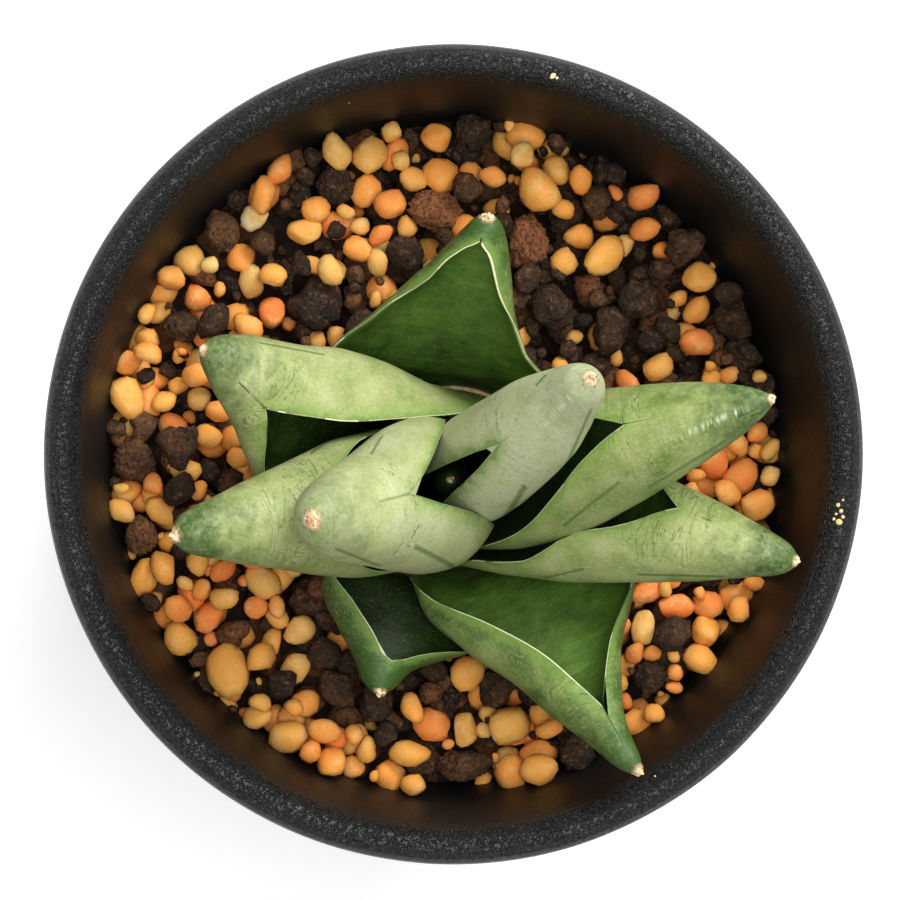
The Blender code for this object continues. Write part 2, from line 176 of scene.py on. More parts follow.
# materials
def makePotPlastic():
    # black polypropylene, injection moulded: near black with a soft sheen, the rim grained with fine raised strands
    # that catch the light, their tops painted lighter grey as a painted glint, the wall smoother and dusted brown near
    # the grit
    material, add, finish = newMaterial("polypropyleneMouldedBlack", 0.5, 1.49, 0.5)
    place = add("TexCoord", {}, "Object")
    height = add("SeparateXYZ", {0: place}, "Z")
    flat = add("VectorMath", {"operation": "MULTIPLY", 0: place, 1: (1, 1, 0)})
    radius = add("VectorMath", {"operation": "LENGTH", 0: flat}, "Value")
    onRim = add("MapRange", {"Value": radius, "From Min": 0.0544, "From Max": 0.0556})
    inside = add("MapRange", {"Value": radius, "From Min": 0.0556, "From Max": 0.055})
    # strands 0.4 mm apart, drawn a little coarser than the real grain so that they show
    strands = add("TexNoise", {"Vector": place, "Scale": 1750, "Detail": 2, "Roughness": 0.6, "Distortion": 0.6})
    fold = add("Math", {"operation": "ABSOLUTE", 0: add("Math", {"operation": "SUBTRACT", 0: strands, 1: 0.5})})
    ridge = add("MapRange", {"Value": fold, "From Min": 0.1, "From Max": 0.0})
    grain = add("TexNoise", {"Vector": place, "Scale": 3000, "Detail": 2, "Roughness": 0.6})
    flow = add("TexNoise", {"Vector": place, "Scale": 240, "Detail": 3, "Distortion": 0.4})
    blotchNoise = add("TexNoise", {"Vector": place, "Scale": 380, "Detail": 4, "Roughness": 0.6})
    low = add("MapRange", {"Value": height, "From Min": 0.092, "From Max": 0.073, "To Max": 0.05})
    dusty = add("MapRange", {"Value": blotchNoise, "From Min": 0.42, "From Max": 0.75})
    dusty = add("Math", {"operation": "MULTIPLY", 0: add("Math", {"operation": "MULTIPLY", 0: low, 1: dusty}),
                         1: inside})
    # painted glint: the raised strands on the rim are coloured lighter grey where they catch the light
    wearAndGlint = add("Math", {"operation": "MULTIPLY", 0: ridge, 1: onRim})
    colour = add("ValToRGB", {"Fac": flow, "stops": [(0.35, "#070707"), (0.7, "#0D0D0D")]})
    colour = layerColours(add, colour, [
        (add("MapRange", {"Value": wearAndGlint, "To Max": 0.4}), "#252527"), (dusty, "#2C2119")])
    sheen = add("MapRange", {"Value": flow, "From Min": 0.3, "From Max": 0.7, "To Min": 0.36, "To Max": 0.44})
    rough = add("Math", {"operation": "MULTIPLY_ADD", 0: inside, 1: 0.1, 2: sheen})
    relief = add("Math", {"operation": "MULTIPLY_ADD", 0: grain, 1: 0.5, 2: ridge})
    relief = add("Math", {"operation": "MULTIPLY", 0: relief, 1: add("MapRange", {"Value": onRim, "To Min": 0.14})})
    finish({"Base Color": colour, "Roughness": rough,
            "Normal": add("Bump", {"Height": relief, "Strength": 0.9, "Distance": 0.2 * mm})})
    return material


def makeClay():
    # fired clay granules: smooth matt orange to ochre skin, softly clouded, faint dust
    material, add, finish = newMaterial("clayFiredGranules", 0.66, 1.5, 0.35)
    place = add("TexCoord", {}, "Object")
    tone = add("Attribute", {"attribute_name": "tone"}, "Fac")
    sand = add("TexNoise", {"Vector": place, "Scale": 2400, "Detail": 3, "Roughness": 0.65})
    patch = add("TexNoise", {"Vector": place, "Scale": 380, "Detail": 3, "Roughness": 0.6})
    cloud = add("MapRange", {"Value": patch, "From Min": 0.3, "From Max": 0.7, "To Min": -0.1, "To Max": 0.1})
    colour = add("ValToRGB", {"Fac": add("Math", {"operation": "ADD", 0: tone, 1: cloud}), "stops": [
        (0.0, "#E06E2B"), (0.22, "#E8873D"), (0.42, "#ED9C43"), (0.6, "#E7A64B"), (0.74, "#E0AA57"),
        (0.88, "#E8BE70"), (1.0, "#EEE0C0")]})
    colour = layerColours(add, colour, [
        (add("MapRange", {"Value": patch, "From Min": 0.52, "From Max": 0.75, "To Max": 0.45}), "#F2C688"),
        (add("MapRange", {"Value": sand, "From Min": 0.44, "From Max": 0.26, "To Max": 0.5}), "#A05C2A"),
        (add("MapRange", {"Value": sand, "From Min": 0.6, "From Max": 0.8, "To Max": 0.3}), "#F4CC98")])
    finish({"Base Color": colour,
            "Normal": add("Bump", {"Height": sand, "Strength": 0.45, "Distance": 0.2 * mm})})
    return material


def makeLava():
    # volcanic rock, crushed: warm brown-black, knobbly and porous, the knob tops painted lighter tan as painted
    # highlight and the hollows and pores painted near black as painted shade, wholly matt
    material, add, finish = newMaterial("lavaCrushedPorous", 0.88, 1.5, 0.3)
    place = add("TexCoord", {}, "Object")
    tone = add("Attribute", {"attribute_name": "tone"}, "Fac")
    knobs = add("TexNoise", {"Vector": place, "Scale": 1050, "Detail": 4, "Roughness": 0.7, "Distortion": 0.3})
    patch = add("TexNoise", {"Vector": place, "Scale": 300, "Detail": 3, "Roughness": 0.6})
    pores = add("TexVoronoi", {"Vector": place, "Scale": 1300})
    hole = add("MapRange", {"Value": pores, "From Min": 0.34, "From Max": 0.16})
    cloud = add("MapRange", {"Value": patch, "From Min": 0.3, "From Max": 0.7, "To Min": -0.16, "To Max": 0.16})
    colour = add("ValToRGB", {"Fac": add("Math", {"operation": "ADD", 0: tone, 1: cloud}), "stops": [
        (0.0, "#221811"), (0.35, "#3B2919"), (0.65, "#604025"), (0.85, "#805030"), (1.0, "#935D3A")]})
    # painted highlight on the knob tops, painted shade in the hollows between the knobs and in the pores
    colour = layerColours(add, colour, [
        (add("MapRange", {"Value": knobs, "From Min": 0.54, "From Max": 0.74, "To Max": 0.44}), "#A87A54"),
        (add("MapRange", {"Value": knobs, "From Min": 0.46, "From Max": 0.3, "To Max": 0.75}), "#150E09"),
        (add("Math", {"operation": "MULTIPLY", 0: hole, 1: 0.55}), "#100B08")])
    relief = add("Math", {"operation": "MULTIPLY_ADD", 0: hole, 1: -0.3, 2: knobs})
    finish({"Base Color": colour,
            "Normal": add("Bump", {"Height": relief, "Strength": 1.0, "Distance": 0.6 * mm})})
    return material


def makeOuterSkin():
    # waxy cuticle with a powdery bloom: pale grey-green, finely speckled, dark mottled green at
    # the tip, impressed lines, a fresh green band along the margin and a thin dry cream edge
    material, add, finish = newMaterial("leafSkinWaxyBloom", 0.46, 1.45, 0.36)
    place = add("Attribute", {"attribute_name": "leafSpace"}, "Vector")
    edge, tip, notch, bloom, across, mark, paper, ridge = [
        add("Attribute", {"attribute_name": name}, "Fac") for name in
        ("edgeMm", "tipMm", "notchNear", "bloom", "markAcross", "markNear", "paperEdge", "shine")]
    cloud = add("TexNoise", {"Vector": place, "Scale": 0.13, "Detail": 4, "Roughness": 0.55, "Distortion": 0.3})
    patch = add("TexNoise", {"Vector": place, "Scale": 0.3, "Detail": 3, "Roughness": 0.6, "Distortion": 0.5})
    powder = add("TexNoise", {"Vector": place, "Scale": 1.2, "Detail": 2, "Roughness": 0.6, "Distortion": 0.4})
    slim = add("Mapping", {"Vector": place, "Scale": (1, 1, 0.5)})
    fine = add("TexNoise", {"Vector": slim, "Scale": 2.6, "Detail": 3, "Roughness": 0.7})
    flat = add("Mapping", {"Vector": place, "Scale": (0.2, 0.2, 1)})
    lines = add("TexNoise", {"Vector": flat, "Scale": 0.5, "Detail": 3, "Roughness": 0.6, "Distortion": 0.8})
    ribs = add("TexNoise", {"Vector": flat, "Scale": 2.0, "Detail": 2})
    dryGrain = add("TexNoise", {"Vector": place, "Scale": 1.7, "Detail": 3, "Roughness": 0.6})
    swing = add("MapRange", {"Value": cloud, "From Min": 0.3, "From Max": 0.7, "To Min": -0.22, "To Max": 0.22})
    wander = add("MapRange", {"Value": patch, "From Min": 0.3, "From Max": 0.7, "To Min": -1.0})
    colour = add("ValToRGB", {"Fac": add("Math", {"operation": "ADD", 0: bloom, 1: swing}), "stops": [
        (0.0, "#3C5620"), (0.12, "#4A652A"), (0.3, "#798C46"), (0.6, "#A2AA6F"), (0.8, "#B1B884"),
        (1.0, "#C0C59B")]})
    specks = add("Math", {"operation": "MULTIPLY",
                          0: add("MapRange", {"Value": powder, "From Min": 0.6, "From Max": 0.7}),
                          1: add("MapRange", {"Value": patch, "From Min": 0.48, "From Max": 0.66, "To Max": 0.55})})
    reach = add("Math", {"operation": "MULTIPLY_ADD", 0: wander, 1: 5.0, 2: tip})
    mottle = add("Math", {"operation": "MULTIPLY",
                          0: add("MapRange", {"Value": reach, "From Min": 14.0, "From Max": 4.0}),
                          1: add("MapRange", {"Value": powder, "From Min": 0.25, "From Max": 0.6, "To Min": 0.55})})
    # the youngest leaves keep their bloom nearly to the tip
    wearAndGlint = add("MapRange", {"Value": bloom, "From Min": 0.85, "From Max": 0.5, "To Min": 0.35, "To Max": 0.97})
    mottle = add("Math", {"operation": "MULTIPLY", 0: mottle, 1: wearAndGlint})
    band = add("Math", {"operation": "MULTIPLY_ADD", 0: wander, 1: 0.8, 2: edge})
    fold = add("Math", {"operation": "ABSOLUTE", 0: add("Math", {"operation": "SUBTRACT", 0: lines, 1: 0.5})})
    crack = add("Math", {"operation": "MULTIPLY",
                         0: add("MapRange", {"Value": fold, "From Min": 0.016, "From Max": 0.003}),
                         1: add("MapRange", {"Value": notch, "From Min": 0.25, "From Max": 0.75})})
    uneven = add("MapRange", {"Value": powder, "From Min": 0.3, "From Max": 0.7, "To Min": 0.75, "To Max": 1.3})
    offLine = add("Math", {"operation": "MULTIPLY", 0: add("Math", {"operation": "ABSOLUTE", 0: across}), 1: uneven})
    line = add("Math", {"operation": "MULTIPLY",
                        0: add("MapRange", {"Value": offLine, "From Min": 1.3, "From Max": 0.45}),
                        1: add("MapRange", {"Value": mark, "From Min": 0.2, "From Max": 0.6})})
    # painted highlight: whitish colour on the ribs of the shine strips, where the ridge catches the light
    paintedRibHighlight = add("Math", {"operation": "MULTIPLY",
                           0: add("MapRange", {"Value": ribs, "From Min": 0.5, "From Max": 0.66, "To Max": 0.8}),
                           1: ridge})
    fray = add("MapRange", {"Value": dryGrain, "From Min": 0.3, "From Max": 0.7, "To Min": -0.35, "To Max": 0.35})
    rim = add("Math", {"operation": "MULTIPLY_ADD", 0: fray, 1: 0.35, 2: paper})
    dry = add("MapRange", {"Value": add("Math", {"operation": "ADD", 0: tip, 1: fray}),
                           "From Min": 1.25, "From Max": 0.85})
    straw = add("ValToRGB", {"Fac": dryGrain, "stops": [(0.32, "#7A5634"), (0.45, "#CBA374"), (0.6, "#EBDDB8")]})
    colour = layerColours(add, colour, [
        (add("MapRange", {"Value": fine, "From Min": 0.52, "From Max": 0.75, "To Max": 0.45}), "#C9CFA8"),
        (add("MapRange", {"Value": fine, "From Min": 0.47, "From Max": 0.3, "To Max": 0.45}), "#74884A"),
        (specks, "#5C7440"),
        (add("MapRange", {"Value": lines, "From Min": 0.58, "From Max": 0.72, "To Max": 0.22}), "#A08F72"),
        (mottle, "#395522"),
        (add("MapRange", {"Value": band, "From Min": 2.4, "From Max": 0.6, "To Max": 0.6}), "#7A9A46"),
        (add("MapRange", {"Value": band, "From Min": 0.75, "From Max": 0.3, "To Max": 0.5}), "#5F8438"),
        (add("MapRange", {"Value": crack, "To Max": 0.6}), "#4E6834"),
        (add("MapRange", {"Value": line, "To Max": 0.75}), "#56763C"),
        (paintedRibHighlight, "#D3DABB"),
        (add("MapRange", {"Value": rim, "From Min": 1.1, "From Max": 0.7, "To Max": 0.9}), "#DDD9B2"),
        (dry, straw)])
    relief = add("Math", {"operation": "MULTIPLY_ADD", 0: fine, 1: 0.3, 2: add("Math", {
        "operation": "MULTIPLY", 0: ribs, 1: add("MapRange", {"Value": ridge, "To Min": 0.35, "To Max": 1.8})})})
    for part, depth in ((crack, -0.8), (line, -0.9), (dry, 1.0)):
        relief = add("Math", {"operation": "MULTIPLY_ADD", 0: part, 1: depth, 2: relief})
    rough = add("MapRange", {"Value": powder, "From Min": 0.3, "From Max": 0.7, "To Min": 0.4, "To Max": 0.52})
    rough = add("Math", {"operation": "MULTIPLY_ADD", 0: dry, 1: 0.3, 2: rough})
    rough = add("Math", {"operation": "MULTIPLY_ADD", 0: ridge, 1: -0.16, 2: rough})
    finish({"Base Color": colour, "Roughness": rough,
            "Normal": add("Bump", {"Height": relief, "Strength": 0.5, "Distance": 0.22 * mm})})
    return material


def makeInnerSkin():
    # the channel side of a leaf: smooth deep green, darker towards the heart, faint cross bands
    material, add, finish = newMaterial("leafSkinChannelSide", 0.42, 1.45, 0.45)
    place = add("Attribute", {"attribute_name": "leafSpace"}, "Vector")
    edge, tone, paper = [add("Attribute", {"attribute_name": name}, "Fac")
                         for name in ("edgeMm", "bloom", "paperEdge")]
    cloud = add("TexNoise", {"Vector": place, "Scale": 0.14, "Detail": 4, "Roughness": 0.6, "Distortion": 0.4})
    flat = add("Mapping", {"Vector": place, "Scale": (0.28, 0.28, 1)})
    bands = add("TexNoise", {"Vector": flat, "Scale": 0.8, "Detail": 3, "Roughness": 0.6, "Distortion": 0.5})
    fine = add("TexNoise", {"Vector": place, "Scale": 2.6, "Detail": 2, "Roughness": 0.6})
    shade = add("Math", {"operation": "MULTIPLY_ADD", 0: bands, 1: 0.35, 2: tone})
    shade = add("Math", {"operation": "MULTIPLY_ADD", 0: cloud, 1: 0.75, 2: shade})
    wander = add("MapRange", {"Value": cloud, "From Min": 0.3, "From Max": 0.7, "To Min": -0.8, "To Max": 0.8})
    band = add("Math", {"operation": "ADD", 0: edge, 1: wander})
    colour = add("ValToRGB", {"Fac": shade, "stops": [
        (0.2, "#12200A"), (0.45, "#22370F"), (0.62, "#37541A"), (0.8, "#4C6C25"), (1.0, "#6C8C40")]})
    colour = layerColours(add, colour, [
        (add("MapRange", {"Value": fine, "From Min": 0.56, "From Max": 0.74, "To Max": 0.3}), "#6E9046"),
        (add("MapRange", {"Value": fine, "From Min": 0.42, "From Max": 0.28, "To Max": 0.4}), "#1E330E"),
        (add("MapRange", {"Value": band, "From Min": 2.6, "From Max": 0.4, "To Max": 0.6}), "#5F8436"),
        (add("MapRange", {"Value": paper, "From Min": 1.1, "From Max": 0.7, "To Max": 0.9}), "#DDD9B2")])
    relief = add("Math", {"operation": "MULTIPLY_ADD", 0: fine, 1: 0.4, 2: bands})
    finish({"Base Color": colour,
            "Normal": add("Bump", {"Height": relief, "Strength": 0.3, "Distance": 0.2 * mm})})
    return material


def makeCrownTissue():
    # living stem base: pale straw, fibrous, matt
    material, add, finish = newMaterial("stemTissueFibrous", 0.7, 1.45, 0.4)
    drawn = add("Mapping", {"Vector": add("TexCoord", {}, "Object"), "Scale": (1, 1, 0.2)})
    fibre = add("TexNoise", {"Vector": drawn, "Scale": 700, "Detail": 4, "Roughness": 0.6, "Distortion": 0.3})
    colour = add("ValToRGB", {"Fac": fibre, "stops": [(0.3, "#8C7A4C"), (0.5, "#BCAA74"), (0.7, "#D8CB9C")]})
    finish({"Base Color": colour,
            "Normal": add("Bump", {"Height": fibre, "Strength": 0.5, "Distance": 0.3 * mm})})
    return material


def makeFilling():
    # packed grains deep in the pot, coloured dark as painted shade for the deep gaps between the loose grains: dark
    # brown crumbs with dull orange between, the darkest blotches painted as deeper shade
    material, add, finish = newMaterial("gritPackedDusty", 0.95, 1.5, 0.2)
    place = add("TexCoord", {}, "Object")
    pick = add("SeparateColor", {0: add("TexVoronoi", {"Vector": place, "Scale": 260}, "Color")})
    gap = add("TexVoronoi", {"Vector": place, "Scale": 260})
    blotchNoise = add("TexNoise", {"Vector": place, "Scale": 1400, "Detail": 3, "Roughness": 0.7})
    colour = add("ValToRGB", {"Fac": pick, "stops": [
        (0.0, "#1A120D"), (0.5, "#2E2018"), (0.7, "#3E2A1D"), (1.0, "#6A4225")]})
    # painted shade: the darkest blotches deepen the shade of the gaps
    colour = layerColours(add, colour, [
        (add("MapRange", {"Value": blotchNoise, "From Min": 0.5, "From Max": 0.3, "To Max": 0.7}), "#0E0907")])
    relief = add("Math", {"operation": "SUBTRACT", 0: add("Math", {"operation": "MULTIPLY", 0: blotchNoise, 1: 0.4}), 1: gap})
    finish({"Base Color": colour, "Normal": add("Bump", {"Height": relief, "Distance": 1.4 * mm})})
    return material


def makeFloorPaint():
    # matt white board lit from inside: even and pale, the faintest mottling
    material, add, finish = newMaterial("boardPaintedMatt", 0.8, 1.5, 0.2)
    mottle = add("TexNoise", {"Vector": add("TexCoord", {}, "Object"), "Scale": 9, "Detail": 3})
    colour = add("ValToRGB", {"Fac": mottle, "stops": [(0.3, "#F3F3F2"), (0.7, "#F8F8F7")]})
    finish({"Base Color": colour, "Emission Color": "#FFFFFF", "Emission Strength": studio["floorGlow"]})
    return material


# nursery pot
nurseryPot = {
    "steps": 256,
    "profile": [  # radius and height, mm, from the rim's crest down the outside and up the inside
        (57.9, 98.0), (58.8, 97.9), (59.6, 97.5), (60.2, 96.8), (60.5, 95.8), (60.5, 92.6),
        (60.5, 89.6), (60.3, 88.8), (59.8, 88.4), (56.5, 88.4), (56.12, 87.9), (55.7, 86.0),
        (51.0, 58.0), (46.3, 31.0), (41.6, 4.0), (41.0, 1.2), (40.6, 0.3), (40.0, 0.0), (38.4, 0.0),
        (37.8, 0.3), (37.4, 0.9), (36.8, 3.6), (36.2, 4.0), (20.0, 4.0), (4.4, 4.0), (4.0, 4.4),
        (4.0, 5.8), (4.4, 6.2), (20.0, 6.2), (38.6, 6.2), (39.7, 6.7), (40.45, 8.0), (44.5, 31.5),
        (49.0, 57.7), (52.8, 80.0), (54.0, 88.0), (54.55, 92.0), (54.95, 94.4), (55.3, 95.8), (55.8, 96.8),
        (56.5, 97.5), (57.1, 97.85),
    ],
    # picture x, y and size in mm of each dried speck
    "specks": [(838, 505, 0.7), (841, 511, 0.6), (843, 517, 0.6), (839, 522, 0.9), (836, 514, 0.4),
               (843, 500, 0.4), (834, 519, 0.5), (553, 76, 0.8), (557, 78, 0.4), (349, 103, 0.3),
               (655, 776, 0.3)],
    "holePlace": 24.0,
    "holeRadius": 4.0,
}


def buildPot(material):
    bm = bmesh.new()
    ring = [bm.verts.new((r * mm, 0, z * mm)) for r, z in nurseryPot["profile"]]
    edges = [bm.edges.new((ring[i - 1], ring[i])) for i in range(len(ring))]
    bmesh.ops.spin(bm, geom=ring + edges, cent=(0, 0, 0), axis=(0, 0, 1), angle=2 * math.pi,
                   steps=nurseryPot["steps"], use_merge=True)
    bmesh.ops.remove_doubles(bm, verts=bm.verts, dist=0.00001)
    bmesh.ops.recalc_face_normals(bm, faces=bm.faces)
    mesh = bpy.data.meshes.new("potBlank")
    bm.to_mesh(mesh)
    bm.free()
    blank = bpy.data.objects.new("potBlank", mesh)
    bpy.context.scene.collection.objects.link(blank)
    cutter = bmesh.new()
    for quarter in range(4):
        angle = math.radians(45 + 90 * quarter)
        place = Vector((math.cos(angle), math.sin(angle), 0)) * nurseryPot["holePlace"] + Vector((0, 0, 5))
        bmesh.ops.create_cone(cutter, cap_ends=True, segments=40, radius1=nurseryPot["holeRadius"] * mm,
                              radius2=nurseryPot["holeRadius"] * mm, depth=8 * mm,
                              matrix=Matrix.Translation(place * mm))
    tool = bpy.data.meshes.new("holeCutter")
    cutter.to_mesh(tool)
    cutter.free()
    toolObject = bpy.data.objects.new("holeCutter", tool)
    bpy.context.scene.collection.objects.link(toolObject)
    step = blank.modifiers.new("holes", "BOOLEAN")
    step.operation = "DIFFERENCE"
    step.solver = "EXACT"
    step.object = toolObject
    bpy.context.view_layer.update()
    done = bpy.data.meshes.new_from_object(blank.evaluated_get(bpy.context.evaluated_depsgraph_get()))
    bm = bmesh.new()
    bm.from_mesh(done)
    for old in (blank, toolObject):
        bpy.data.objects.remove(old)
    for old in (mesh, tool, done):
        bpy.data.meshes.remove(old)
    bmesh.ops.remove_doubles(bm, verts=bm.verts, dist=0.00001)
    for vert in bm.verts:  # the moulding is a little uneven round the rim
        if vert.co.z > 88 * mm:
            out = Vector((vert.co.x, vert.co.y, 0)).normalized()
            vert.co -= out * (0.08 * mm * (1 + noise.noise(vert.co * 60)))
    pot = newPiece("nurseryPot", bm, [material], ["nursery_pot"], smooth=True)
    for edge in pot.data.edges:
        edge.use_edge_sharp = False
    pot.data.set_sharp_from_angle(angle=math.radians(38))
    return pot


def buildSpecks(pot, material):
    # chalky crumbs and drops of lime that have dried on the rim
    bm = bmesh.new()
    bm.from_mesh(pot.data)
    tree = BVHTree.FromBMesh(bm)
    bm.clear()
    tone = bm.verts.layers.float.new("tone")
    rng = random.Random(3)
    for px, py, size in nurseryPot["specks"]:
        eye, ray = sightLine(px, py)
        place, normal = tree.ray_cast(eye * mm, ray)[:2]
        if place is None:
            continue
        turn = normal.to_track_quat("Z", "Y").to_matrix().to_4x4()
        shape = Matrix.Diagonal((size * rng.uniform(0.8, 1.4), size, size * 0.3, 1.0))
        matrix = Matrix.Translation(place) @ turn @ Matrix.Rotation(rng.uniform(0, 6.0), 4, "Z") @ shape
        made = bmesh.ops.create_icosphere(bm, subdivisions=2, radius=0.5 * mm, matrix=matrix)["verts"]
        for vert in made:
            vert.co += noise.noise_vector(vert.co * 2500) * (0.12 * size * mm)
            vert[tone] = rng.uniform(0.9, 1.0)
    return newPiece("limeSpecks", bm, [material])


# leaves
leafShape = {
    "crown": (0.6, -4.2, 71.7),
    "baseWall": 1.6,
    "keelWall": 3.0,
    "edgeWall": 1.1,
    "levelPart": 0.3,   # part of the length over which the sections turn up from level
    "hood": 0.05,       # depth of the pocket past the notch, as part of the length
    "columns": 84,
    "rowsBelow": 72,
    "rowsAbove": 46,
    "rowsHood": 6,
    "layers": ["edgeMm", "tipMm", "notchNear", "bloom", "markAcross", "markNear", "paperEdge", "shine"],
}

